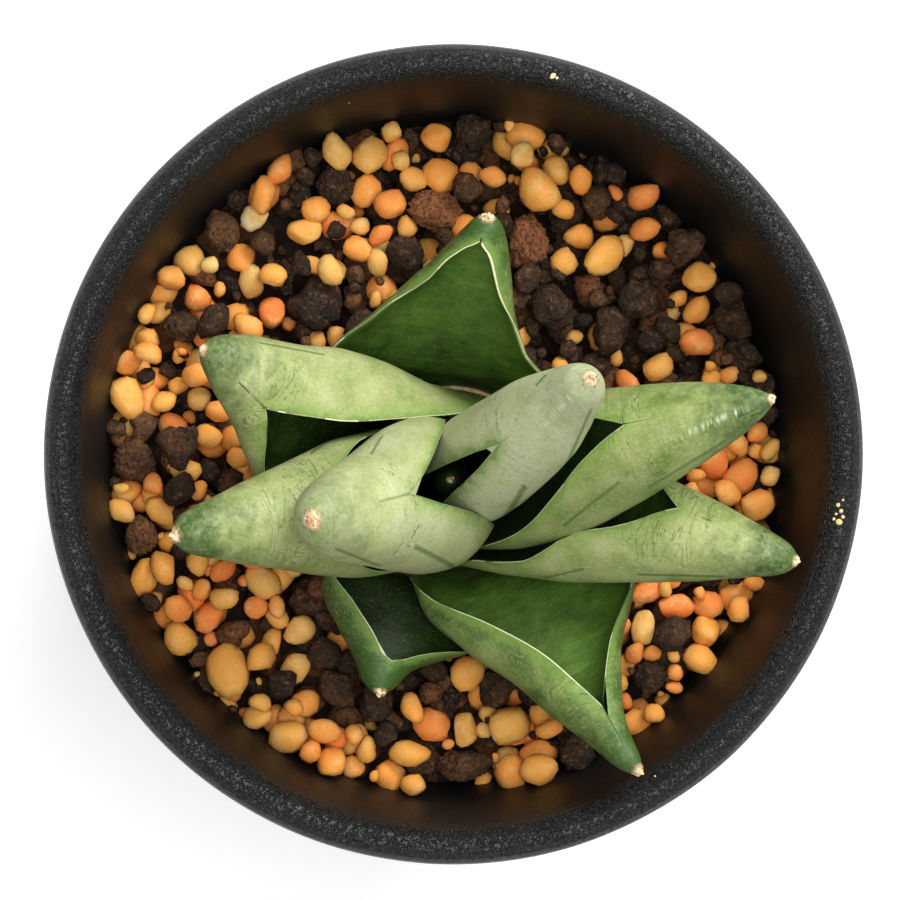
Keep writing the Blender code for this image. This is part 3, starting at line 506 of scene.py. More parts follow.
# spines pass through three points at thirds of the length; width, depth, open and lean are
# pairs of place along the leaf and value; marks are dark impressed lines by picture pixels
# shine strips, by picture pixels, are where a whitish highlight is painted on the ribs of the ridge
leaves = [
    dict(name="leaf_1", radius=4.6, notch=0.667, bloom=1.0, paper=0.05, cracks=0.05, inner=0.0,
         spine=[(3.3, -2.0, 20.0), (10.1, 4.1, 38.5), (16.7, 10.8, 57.0)],
         width=[(0.33, 16.2), (0.667, 14.0), (0.85, 9.5), (0.95, 6.0)],
         depth=[(0.33, 15.8), (0.667, 13.5), (0.85, 9.5), (0.95, 6.0)],
         open=[(0.0, 140), (0.33, 162), (0.55, 171)],
         lean=[(0.0, -10), (0.33, -17), (0.667, -14), (1.0, -14)],
         marks=[(524, 488, 505, 519, 6.5), (590, 412, 565, 468, 3.0), (471, 403, 450, 413, 2.6),
                (545, 375, 537, 384, 2.4)],
         shine=[(573, 394, 526, 445, 7)]),
    dict(name="leaf_2", radius=6.5, notch=0.667, bloom=0.78, paper=0.06, cracks=0.05, inner=0.0,
         spine=[(-4.4, -6.0, 19.0), (-13.9, -8.0, 36.7), (-22.3, -9.1, 53.0)],
         width=[(0.15, 18.8), (0.33, 23.2), (0.667, 16.0), (0.85, 11.5), (0.95, 7.0)],
         depth=[(0.15, 17.5), (0.33, 20.0), (0.667, 15.4), (0.85, 11.0), (0.95, 6.5)],
         open=[(0.0, 108), (0.18, 120), (0.33, 137), (0.55, 162)],
         lean=[(0.0, 10), (0.33, 15), (0.667, 8), (1.0, 7)],
         marks=[(338, 550, 387, 569, 3.2), (417, 548, 452, 566, 5.5), (381, 437, 372, 452, 3.0)]),
    dict(name="leaf_3", radius=8.4, notch=0.667, bloom=0.42, paper=0.1, cracks=0.06, inner=-0.05,
         spine=[(12.0, -2.6, 19.0), (27.2, 2.6, 33.0), (44.4, 8.0, 43.0)],
         width=[(0.15, 21.0), (0.33, 21.5), (0.667, 15.5), (0.85, 9.5), (0.95, 4.5)],
         depth=[(0.33, 16.0), (0.667, 13.0), (0.85, 8.5), (0.95, 4.5)],
         open=[(0.0, 105), (0.33, 122), (0.47, 140), (0.55, 156)],
         lean=[(0.0, 0), (0.33, -14), (0.55, -22), (1.0, -16)],
         marks=[(565, 525, 617, 484, 3.2), (650, 487, 733, 437, 3.0), (757, 410, 742, 417, 2.6),
                (657, 474, 661, 472, 3.0)],
         shine=[(747, 408, 668, 443, 8)]),
    dict(name="leaf_4", radius=10.3, notch=0.63, bloom=0.52, paper=0.1, cracks=0.14, inner=-0.05,
         spine=[(-12.6, -7.4, 17.0), (-27.1, -9.6, 28.8), (-41.8, -11.6, 38.0)],
         width=[(0.33, 21.4), (0.667, 14.3), (0.85, 9.0), (0.95, 5.5)],
         depth=[(0.33, 18.0), (0.667, 12.5), (0.85, 8.5), (0.95, 5.5)],
         open=[(0.0, 100), (0.33, 107), (0.5, 133)],
         lean=[(0.0, 0), (0.33, -2), (0.5, -3), (0.63, 0), (1.0, 0)],
         marks=[(206, 496, 246, 474, 2.4), (333, 436, 312, 452, 3.0)]),
    dict(name="leaf_5", radius=12.2, notch=0.667, bloom=0.5, paper=0.1, cracks=0.12, inner=-0.05,
         spine=[(14.4, -7.9, 14.0), (33.1, -11.9, 25.0), (49.3, -15.7, 33.0)],
         width=[(0.33, 22.0), (0.667, 14.0), (0.85, 8.0), (0.95, 4.5)],
         depth=[(0.33, 17.0), (0.667, 11.5), (0.85, 8.0), (0.95, 4.5)],
         open=[(0.0, 95), (0.33, 102), (0.47, 126), (0.55, 140)],
         lean=[(0.0, 0), (0.33, -24), (0.47, -38), (0.6, -34), (1.0, -26)],
         marks=[(545, 578, 581, 570, 2.4), (640, 575, 722, 577, 2.4)]),
    dict(name="leaf_6", radius=14.1, notch=0.7, bloom=0.56, paper=0.17, cracks=0.07, inner=-0.06,
         spine=[(-15.6, 1.2, 14.0), (-27.8, 9.6, 25.0), (-37.7, 15.1, 32.0)],
         width=[(0.33, 27.6), (0.5, 23.6), (0.667, 15.5), (0.85, 9.0), (0.95, 4.5)],
         depth=[(0.33, 17.0), (0.5, 15.0), (0.667, 12.0), (0.85, 8.0), (0.95, 4.5)],
         open=[(0.0, 84), (0.33, 116), (0.47, 132), (0.55, 143)],
         lean=[(0.0, -6), (0.33, -33), (0.5, -36), (0.7, -26), (1.0, -24)],
         marks=[(262, 343, 322, 354, 2.2)]),
    dict(name="leaf_7", radius=16.3, notch=0.9, bloom=0.14, paper=0.4, cracks=0.04, inner=0.1,
         spine=[(-2.1, 11.0, 12.0), (1.6, 24.5, 20.0), (4.3, 35.2, 26.0)],
         width=[(0.2, 35.5), (0.33, 35.0), (0.5, 23.5), (0.667, 15.0), (0.8, 10.0), (0.9, 6.5), (0.96, 4.0)],
         depth=[(0.33, 18.0), (0.667, 11.0), (0.8, 8.5), (0.9, 6.0), (0.96, 4.0)],
         open=[(0.0, 76), (0.33, 85), (0.55, 98), (0.7, 127), (0.8, 141), (0.85, 152)],
         lean=[(0.0, 0), (0.6, 0), (0.8, -14), (1.0, -14)],
         marks=[]),
    dict(name="leaf_8", radius=14.4, notch=0.83, bloom=0.24, paper=0.16, cracks=0.17, inner=0.16,
         spine=[(11.2, -16.4, 11.2), (17.2, -31.3, 19.0), (26.8, -46.8, 29.0)],
         width=[(0.33, 34.0), (0.5, 28.0), (0.667, 16.5), (0.75, 12.5), (0.87, 6.5), (0.96, 3.5)],
         depth=[(0.33, 15.5), (0.5, 14.0), (0.667, 12.0), (0.75, 10.0), (0.87, 6.5), (0.96, 3.5)],
         open=[(0.0, 60), (0.33, 98), (0.55, 127), (0.7, 149), (0.77, 162)],
         lean=[(0.0, 3), (0.33, -21), (1.0, -19)],
         marks=[(598, 697, 621, 744, 4.0)]),
    # leaf_9's bloom and inner tone are set low: a darker green, in part painted shade from leaf_8, which lies over it
    dict(name="leaf_9", radius=17.9, notch=0.82, bloom=0.0, paper=0.17, cracks=0.05, inner=-0.3,
         spine=[(-5.8, -19.6, 8.0), (-9.5, -28.5, 11.0), (-11.0, -36.1, 15.0)],
         width=[(0.33, 27.0), (0.5, 25.0), (0.667, 16.0), (0.8, 9.0), (0.92, 5.0)],
         depth=[(0.15, 23.0), (0.33, 12.0), (0.5, 10.5), (0.667, 8.5), (0.8, 7.0), (0.92, 4.5)],
         open=[(0.0, 32), (0.2, 42), (0.33, 58), (0.47, 98), (0.55, 124), (0.7, 150), (0.78, 160)],
         lean=[(0.0, -18), (0.33, -18), (0.47, -24), (0.6, -16), (1.0, -8)],
         marks=[]),
    dict(name="centre_bud", radius=2.6, notch=0.0, bloom=0.15, paper=0.0, cracks=0.01, inner=0.0,
         spine=[(0.1, -4.1, 9.0), (-0.5, -3.9, 17.0), (-1.0, -3.7, 25.0)],
         width=[(0.33, 5.4), (0.667, 4.2), (0.9, 2.2)], depth=[(0.33, 5.4), (0.667, 4.2), (0.9, 2.2)],
         open=[], lean=[(0.0, 0), (1.0, 0)], marks=[]),
]


def through(pairs, t):
    # smooth curve through pairs of place and value, without overshoot
    xs = [p[0] for p in pairs]
    ys = [p[1] for p in pairs]
    last = len(xs) - 1
    slopes = [(ys[i + 1] - ys[i]) / (xs[i + 1] - xs[i]) for i in range(last)]
    ends = [slopes[0]] + [0.0] * (last - 1) + [slopes[-1]]
    for i in range(1, last):
        if slopes[i - 1] * slopes[i] > 0:
            a = 2 * (xs[i + 1] - xs[i]) + (xs[i] - xs[i - 1])
            b = (xs[i + 1] - xs[i]) + 2 * (xs[i] - xs[i - 1])
            ends[i] = (a + b) / (a / slopes[i - 1] + b / slopes[i])
    i = 0
    while i < last - 1 and t > xs[i + 1]:
        i += 1
    h = xs[i + 1] - xs[i]
    s = min(max((t - xs[i]) / h, 0.0), 1.0)
    return ((2 * s ** 3 - 3 * s ** 2 + 1) * ys[i] + (s ** 3 - 2 * s ** 2 + s) * h * ends[i]
            + (3 * s ** 2 - 2 * s ** 3) * ys[i + 1] + (s ** 3 - s ** 2) * h * ends[i + 1])


def spineAt(leaf, t):
    points = [Vector(leafShape["crown"])]
    points += [Vector((x, y, soilLevel + z)) for x, y, z in leaf["spine"]]
    knots = [0.0, 1 / 3, 2 / 3, 1.0]
    place, heading = Vector(), Vector()
    for i in range(4):
        a, b, c = [knots[j] for j in range(4) if j != i]
        scale = (knots[i] - a) * (knots[i] - b) * (knots[i] - c)
        place += points[i] * ((t - a) * (t - b) * (t - c) / scale)
        heading += points[i] * (((t - b) * (t - c) + (t - a) * (t - c) + (t - a) * (t - b)) / scale)
    return place, heading.normalized()


def leafSection(leaf, t):
    # everything that one cross section of a leaf needs
    place, heading = spineAt(leaf, t)
    level = max(0.0, 1.0 - t / leafShape["levelPart"])
    level = level * level * (3 - 2 * level)
    heading = heading.lerp(Vector((0, 0, 1)), level).normalized()
    x, y, _ = leaf["spine"][2]
    out = Vector((x - leafShape["crown"][0], y - leafShape["crown"][1], 0)).normalized()
    left = Vector((-out.y, out.x, 0))
    left = (left - heading * left.dot(heading)).normalized()
    base, tip = [(0.0, 2 * leaf["radius"])], [(1.0, 0.3)]
    notch = leaf["notch"]
    return {
        "t": t, "place": place, "left": left, "upper": heading.cross(left),
        "halfWidth": through(base + leaf["width"] + tip, t) / 2,
        "halfDepth": through(base + leaf["depth"] + tip, t) / 2,
        "arc": math.radians(through(leaf["open"] + [(notch, 180)], t)) if t < notch else math.pi,
        "lean": math.radians(through(leaf["lean"], t)),
        "keel": through([(0.0, leafShape["baseWall"]), (0.3, leafShape["keelWall"]),
                         (1.0, leafShape["keelWall"])], t),
        "seed": leaf["radius"],
    }


def wallAt(cut, u, notch):
    # thickness, rounded off at the free margins and full again where they have grown together
    edge = leafShape["edgeWall"] + (cut["keel"] - leafShape["edgeWall"]) * (1 - u * u)
    past = max(0.0, cut["t"] - notch) / leafShape["hood"]
    free = 1.0 - min(1.0, past * 3.0)
    return edge * math.sqrt(max(0.0, 1 - free * u ** 8)) * (1.0 + 2.0 * past)


def skinPoint(cut, u, notch, inside, length):
    wide, deep = cut["halfWidth"], cut["halfDepth"]
    turn = u * cut["arc"] + cut["lean"]
    along = cut["t"] * length
    # margins are slightly wavy and the skin is never quite even
    wave = noise.noise(Vector((along * 0.16, u * 1.5, cut["seed"])))
    wide += (0.35 * abs(u) ** 6 * wave) * min(1.0, wide / 6)
    if inside:
        wall = wallAt(cut, u, notch)
        wide, deep = max(wide - wall, 0.1 * wide), max(deep - wall, 0.1 * deep)
    else:
        swell = noise.noise(Vector((math.sin(turn) * wide * 0.22, math.cos(turn) * deep * 0.22, along * 0.16)))
        wide += 0.16 * swell * min(1.0, wide / 5)
        deep += 0.16 * swell * min(1.0, deep / 5)
    offset = Vector((wide * math.sin(turn), -deep * math.cos(turn), along))
    return cut["place"] + cut["left"] * offset.x + cut["upper"] * offset.y, offset


def nearestMark(pixel, marks):
    # how far across the nearest mark a point lies, in half widths, and how surely it is on it
    nearest, across, sure = 99.0, 9.0, 0.0
    for ax, ay, bx, by, wide in marks:
        dx, dy = bx - ax, by - ay
        length = math.hypot(dx, dy)
        along = ((pixel[0] - ax) * dx + (pixel[1] - ay) * dy) / length
        side = ((pixel[0] - ax) * dy - (pixel[1] - ay) * dx) / length
        past = max(0.0, -along, along - length)
        if math.hypot(side, past) < nearest:
            nearest, across = math.hypot(side, past), 2 * side / wide
            sure = max(0.0, 1 - past / 4) * min(1.0, max(0.0, 3 - 0.25 * abs(side)))
    return across, sure


def leafSheet(bm, leaf, inside):
    # a grid laid out across and along, then carried onto the leaf's sections
    below = leafShape["rowsBelow"] if leaf["notch"] else 0
    above = leafShape["rowsHood"] if inside else leafShape["rowsAbove"]
    rows, columns, notch = below + above, leafShape["columns"], leaf["notch"]
    made = bmesh.ops.create_grid(bm, x_segments=columns, y_segments=rows, size=1.0)["verts"]
    layers = {name: bm.verts.layers.float[name] for name in leafShape["layers"]}
    space = bm.verts.layers.float_vector["leafSpace"]
    points = [Vector(leafShape["crown"])] + [Vector((x, y, soilLevel + z)) for x, y, z in leaf["spine"]]
    length = sum((b - a).length for a, b in zip(points, points[1:]))
    cuts = []
    for row in range(rows + 1):
        if row <= below and below:
            t = notch * row / below
        elif inside:
            t = notch + leafShape["hood"] * (row - below) / above
        else:
            t = notch + (1 - notch) * (1 - (1 - (row - below) / above) ** 1.5)
        cuts.append(leafSection(leaf, t))
    for vert in made:
        row = round((vert.co.y + 1) / 2 * rows)
        part = (vert.co.x + 1) / 2
        u = 0.6 * (2 * part - 1) + 0.4 * math.sin(math.pi * (part - 0.5))
        cut = cuts[row]
        place, offset = skinPoint(cut, u, notch, inside, length)
        if (inside or not notch) and row == rows:
            place, offset = skinPoint(cut, 0, notch, inside, length)
            place = cut["place"] if inside else place
        if not inside and row == rows:
            place = cut["place"]
        arcMm = cut["arc"] * (cut["halfWidth"] + cut["halfDepth"]) / 2
        past = max(0.0, cut["t"] - notch) * length if notch else 9.0
        edge = (1 - abs(u)) * arcMm + past * 0.8
        fromNotch = (cut["t"] - notch) / leaf["cracks"]
        facing = cut["left"] * (offset.x / cut["halfWidth"] ** 2) + cut["upper"] * (offset.y / cut["halfDepth"] ** 2)
        across, sure, shine = 9.0, 0.0, 0.0
        if not inside and facing.z > 0:
            pixel = toPixel(place)
            across, sure = nearestMark(pixel, leaf["marks"])
            for mark in leaf.get("shine", []):
                side, within = nearestMark(pixel, [mark])
                shine = within * max(0.0, 1 - abs(side) * 0.7)
        values = {
            "edgeMm": edge, "tipMm": (1 - cut["t"]) * length,
            "notchNear": math.exp(-fromNotch ** 2) * min(1.0, max(0.0, abs(u) * 2.2 - 0.7)) if notch else 0.0,
            "bloom": leaf["inner"] + 0.4 * (cut["t"] - 0.5) if inside else leaf["bloom"] - 0.55 * max(0.0, 1 - cut["t"] / 0.22),
            "markAcross": across, "markNear": sure, "shine": shine,
            "paperEdge": edge / max(0.01, leaf["paper"] * (0.6 if u > 0 else 1.0)),
        }
        for name, value in values.items():
            vert[layers[name]] = value
        vert[space] = offset
        vert.co = place * mm
    return made


def roughenTip(bm, leaf):
    # the dead tip is shrunken and crumbly
    tip = bm.verts.layers.float["tipMm"]
    for vert in bm.verts:
        dry = max(0.0, 1 - vert[tip] / 1.4)
        if dry > 0:
            jitter = noise.noise_vector(vert.co * 1400 + Vector((leaf["radius"], 0, 0)))
            vert.co += jitter * (0.38 * mm * min(1.0, 2 * dry))
            vert.co.z = min(vert.co.z, cadBox[1][2])    # no higher than the plant was measured


def buildLeaf(leaf, outerSkin, innerSkin):
    bm = bmesh.new()
    for name in leafShape["layers"]:
        bm.verts.layers.float.new(name)
    bm.verts.layers.float_vector.new("leafSpace")
    leafSheet(bm, leaf, False)
    if leaf["notch"]:
        outerFaces = set(bm.faces)
        leafSheet(bm, leaf, True)
        for face in bm.faces:
            face.material_index = 0 if face in outerFaces else 1
    bmesh.ops.remove_doubles(bm, verts=bm.verts, dist=0.012 * mm)
    loose = [edge for edge in bm.edges if edge.is_boundary]
    bmesh.ops.holes_fill(bm, edges=loose, sides=0)
    roughenTip(bm, leaf)
    bmesh.ops.recalc_face_normals(bm, faces=bm.faces)
    pieceName = leaf["name"].replace("_", "") if leaf["notch"] else "centreBud"
    return newPiece(pieceName, bm, [outerSkin, innerSkin], [leaf["name"]])


# grit
gritMix = {
    "seed": 11,
    "level": 68.2,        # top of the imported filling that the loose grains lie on, mm
    "top": 76.6,          # no grain's middle rests higher
    "cell": 0.35,         # spacing of the height map used while grains are laid, mm
    "tries": 12,
    "rosette": 13.5,      # nothing lies closer than this to the plant's middle
    # how many, kind, smallest and largest radius in mm: the lower layer, then what fills the gaps
    "lower": [(170, "lava", 1.9, 2.9), (190, "clay", 1.7, 2.4)],
    "upper": [(130, "lava", 1.6, 2.8), (110, "clay", 1.5, 2.3), (150, "lava", 1.2, 2.0), (140, "clay", 1.2, 1.8),
              (110, "lava", 0.8, 1.4), (70, "clay", 0.8, 1.3), (90, "lava", 0.5, 0.8), (30, "clay", 0.5, 0.7)],
    # areas with more clay (above 0.5) or more lava (below): picture x, y, reach and share
    "areas": [(160, 400, 60, 0.8), (180, 300, 50, 0.62), (130, 450, 40, 0.2), (190, 440, 45, 0.3),
              (140, 520, 45, 0.85), (200, 640, 55, 0.6), (310, 650, 50, 0.2), (300, 740, 45, 0.75),
              (360, 700, 35, 0.12), (440, 740, 70, 0.7), (520, 720, 45, 0.6), (330, 190, 45, 0.15),
              (400, 190, 50, 0.85), (300, 280, 50, 0.25), (230, 230, 40, 0.25), (470, 150, 50, 0.3),
              (540, 130, 35, 0.8), (530, 230, 45, 0.1), (560, 300, 40, 0.25), (590, 210, 45, 0.55),
              (640, 250, 50, 0.15), (620, 170, 45, 0.3), (690, 320, 45, 0.65), (700, 370, 40, 0.3),
              (730, 460, 45, 0.95), (690, 620, 60, 0.62), (650, 700, 45, 0.7), (220, 570, 40, 0.75)],
    # grains that can be told apart: picture x, y, radius in mm and tone
    "seenClay": [
        (144, 578, 2.3, .5), (164, 566, 2.1, .45), (181, 576, 1.9, .4), (160, 588, 1.9, .4), (178, 607, 2.2, .32),
        (180, 639, 2.5, .6), (211, 616, 2.2, .22), (224, 598, 2.1, .62), (214, 578, 1.8, .45), (264, 581, 2.2, .72),
        (277, 594, 2.1, .4), (299, 631, 2.2, .8), (298, 616, 2.1, .6), (271, 643, 1.9, .58), (260, 657, 2.2, .55),
        (227, 670, 3.0, .6), (252, 669, 1.8, .75), (258, 681, 2.2, .25), (295, 667, 2.0, .76), (249, 716, 1.2, .4),
        (289, 735, 2.6, .62), (310, 749, 1.6, .35), (336, 740, 1.7, .15), (324, 728, 1.8, .4), (330, 761, 2.0, .42),
        (351, 757, 2.0, .68), (354, 734, 1.4, .5), (392, 776, 2.4, .42), (408, 752, 2.2, .6), (413, 783, 1.8, .5),
        (392, 132, 1.7, .7), (414, 132, 2.2, .45), (369, 156, 2.7, .68), (337, 153, 2.2, .74), (414, 179, 1.7, .58),
        (442, 175, 2.7, .42), (473, 173, 1.8, .4), (491, 178, 1.6, .4), (489, 193, 1.7, .35), (530, 122, 2.4, .42),
        (521, 157, 1.9, .74), (557, 172, 2.3, .62), (537, 193, 2.8, .5), (578, 181, 1.9, .38), (589, 197, 2.2, .5),
        (567, 199, 1.8, .72), (641, 197, 2.2, .25), (634, 214, 1.9, .4), (612, 218, 2.0, .35), (580, 238, 2.0, .4),
        (601, 256, 2.6, .58), (625, 245, 1.6, .8), (541, 277, 2.8, .38), (610, 286, 2.3, .86), (367, 190, 2.2, .38),
        (389, 204, 2.2, .28), (380, 225, 2.0, .3), (376, 247, 1.9, .8), (351, 204, 1.6, .6), (357, 249, 2.0, .4),
        (382, 288, 2.3, .35), (359, 268, 1.7, .6), (335, 270, 1.6, .7), (664, 252, 1.4, .3), (698, 309, 1.8, .45),
        (507, 175, 1.2, .8), (498, 209, 1.7, .5), (242, 258, 2.1, .35), (190, 260, 2.4, .72), (210, 265, 1.3, .9),
        (215, 281, 2.2, .62), (252, 283, 2.0, .8), (272, 277, 1.9, .55), (292, 248, 1.8, .62), (313, 265, 1.3, .62),
        (330, 272, 2.0, .76), (342, 260, 1.2, 1.0), (172, 278, 2.0, .4), (182, 295, 2.0, .42), (197, 297, 2.1, .25),
        (163, 298, 1.6, .45), (157, 312, 1.7, .7), (235, 317, 1.9, .45), (248, 327, 2.0, .42), (147, 340, 1.9, .42),
        (150, 353, 1.9, .45), (165, 353, 1.7, .4), (135, 362, 2.2, .3), (187, 350, 2.2, .12), (202, 340, 1.2, .15),
        (177, 385, 1.6, .6), (195, 375, 2.0, .4), (127, 397, 2.6, .58), (163, 402, 1.6, .62), (180, 412, 2.2, .52),
        (220, 412, 1.8, .4), (233, 438, 2.0, .42), (208, 437, 2.0, .55), (187, 470, 1.8, .7), (150, 480, 1.9, .6),
        (125, 493, 2.0, .45), (117, 512, 1.8, .6), (137, 513, 1.8, .6), (160, 510, 2.1, .62), (122, 535, 2.3, .68),
        (198, 490, 1.4, .42), (240, 458, 1.8, .4), (338, 338, 1.7, .5), (664, 656, 2.5, .58), (709, 668, 2.1, .55),
        (691, 680, 1.7, .6), (623, 665, 1.8, .45), (637, 694, 1.5, .42), (625, 702, 1.2, .2), (671, 709, 1.3, .6),
        (640, 731, 2.0, .42), (657, 718, 1.5, .5), (643, 709, 1.6, .4), (468, 674, 2.5, .55), (489, 715, 1.4, .6),
        (509, 724, 2.8, .62), (475, 752, 1.8, .65), (445, 749, 2.0, .82), (432, 724, 2.6, .25), (436, 701, 1.8, .42),
        (411, 706, 1.8, .45), (411, 756, 2.4, .58), (429, 774, 2.2, .6), (412, 784, 1.6, .4), (404, 772, 1.5, .42),
        (511, 754, 2.0, .4), (511, 777, 2.4, .42), (539, 768, 2.4, .55), (484, 731, 1.2, .82), (539, 715, 1.5, .45),
        (548, 727, 1.6, .42), (421, 745, 1.5, .4), (697, 343, 2.2, .22), (685, 332, 1.6, .4), (657, 367, 2.0, .6),
        (670, 370, 1.6, .6), (692, 362, 1.8, .6), (730, 375, 1.4, .42), (737, 445, 1.7, .42), (757, 452, 2.6, .52),
        (712, 462, 2.2, .2), (713, 477, 1.9, .4), (742, 478, 2.8, .28), (768, 475, 1.5, .82), (723, 493, 1.8, .4),
        (737, 463, 1.4, .45), (753, 505, 2.2, .42), (767, 498, 1.4, .4), (695, 475, 1.2, .4), (767, 515, 1.4, .42),
        (757, 433, 1.6, .35), (737, 597, 2.2, .42), (740, 610, 2.0, .4), (697, 586, 1.8, .42), (753, 583, 1.4, .4),
        (725, 618, 1.5, .5), (253, 218, 2.0, .9), (263, 195, 2.1, .4), (278, 183, 1.5, .75)],
    "seenLava": [
        (243, 625, 3.2, .2), (210, 645, 3.0, .5), (280, 704, 3.8, .5), (283, 682, 2.2, .2), (307, 689, 2.3, .15),
        (404, 725, 2.4, .1), (473, 131, 3.0, .2), (510, 131, 3.0, .65), (544, 141, 3.2, .6), (609, 175, 3.8, .8),
        (355, 140, 2.9, .6), (392, 174, 2.8, .65), (425, 163, 2.6, .7), (466, 188, 2.2, .5), (407, 256, 2.8, .25),
        (575, 266, 3.2, .3), (551, 309, 3.2, .3), (682, 245, 2.8, .4), (559, 216, 2.6, .4), (580, 218, 2.6, .35),
        (213, 322, 2.4, .3), (200, 397, 2.6, .2), (152, 377, 2.7, .5), (177, 445, 2.8, .4), (178, 492, 2.3, .15),
        (137, 418, 2.2, .25), (160, 422, 2.2, .25), (217, 465, 2.6, .2), (290, 288, 2.6, .3), (263, 255, 2.4, .2),
        (327, 247, 2.5, .2), (197, 425, 1.6, .45), (300, 265, 1.6, .2), (457, 715, 2.0, .12), (420, 686, 2.6, .45),
        (491, 761, 1.5, .15), (500, 686, 2.8, .35), (475, 691, 2.0, .2), (634, 647, 2.2, .45), (693, 649, 2.7, .3),
        (561, 749, 3.0, .2), (579, 763, 2.6, .2), (664, 636, 1.6, .5), (705, 375, 3.2, .3), (635, 350, 3.0, .3),
        (730, 360, 3.2, .45), (648, 592, 3.0, .4), (747, 352, 1.4, .3), (678, 360, 1.2, .4), (670, 633, 2.4, .4),
        (318, 305, 3.4, .15), (303, 338, 3.2, .85), (517, 180, 1.1, 0.0), (627, 227, 1.1, .1), (610, 330, 3.0, .25),
        (590, 320, 2.6, .3), (640, 300, 3.0, .25), (660, 280, 2.6, .3), (560, 340, 2.8, .35), (240, 590, 2.0, .2)],
    "stoneTones": {
        "lava_stone_1": 0.95, "lava_stone_2": 0.9, "lava_stone_3": 0.6, "lava_stone_4": 0.3, "lava_stone_5": 0.4,
        "lava_stone_6": 0.55, "lava_stone_7": 0.7, "lava_stone_8": 0.15, "lava_stone_9": 0.3,
        "lava_stone_10": 0.55, "clay_stone_1": 0.6, "clay_stone_2": 0.15, "clay_stone_3": 0.42,
        "clay_stone_4": 0.6, "clay_stone_5": 0.12, "clay_stone_6": 0.78, "clay_stone_7": 0.5, "clay_stone_8": 0.7,
    },
    "shapes": 16,
}


def grainShape(kind, seed, cuts):
    # a cube of a few dozen faces pulled onto a rounded polyhedron, knobbly where it is lava
    rng = random.Random(seed)
    planes = []
    for _ in range(9 if kind == "clay" else 14):
        normal = Vector((rng.gauss(0, 1), rng.gauss(0, 1), rng.gauss(0, 1))).normalized()
        planes.append((normal, rng.uniform(0.74, 1.0)))
    bm = bmesh.new()
    bmesh.ops.create_cube(bm, size=1.0)
    bmesh.ops.subdivide_edges(bm, edges=bm.edges, cuts=cuts, use_grid_fill=True)
    for vert in bm.verts:
        aim = vert.co.normalized()
        reach = math.exp(-12 * 1.1)
        for normal, away in planes:
            reach += math.exp(-12 * away / max(0.05, aim.dot(normal)))
        reach = -math.log(reach) / 12
        if kind == "lava":
            reach *= 1 + 0.3 * noise.noise(aim * 1.9 + Vector((seed, 0, 0)))
            if cuts > 2:
                reach += 0.16 * noise.fractal(aim * 4.2 + Vector((0, seed, 0)), 0.8, 2.2, 3)
        vert.co = aim * reach
    mesh = bpy.data.meshes.new("grainShape")
    bm.to_mesh(mesh)
    bm.free()
    return mesh


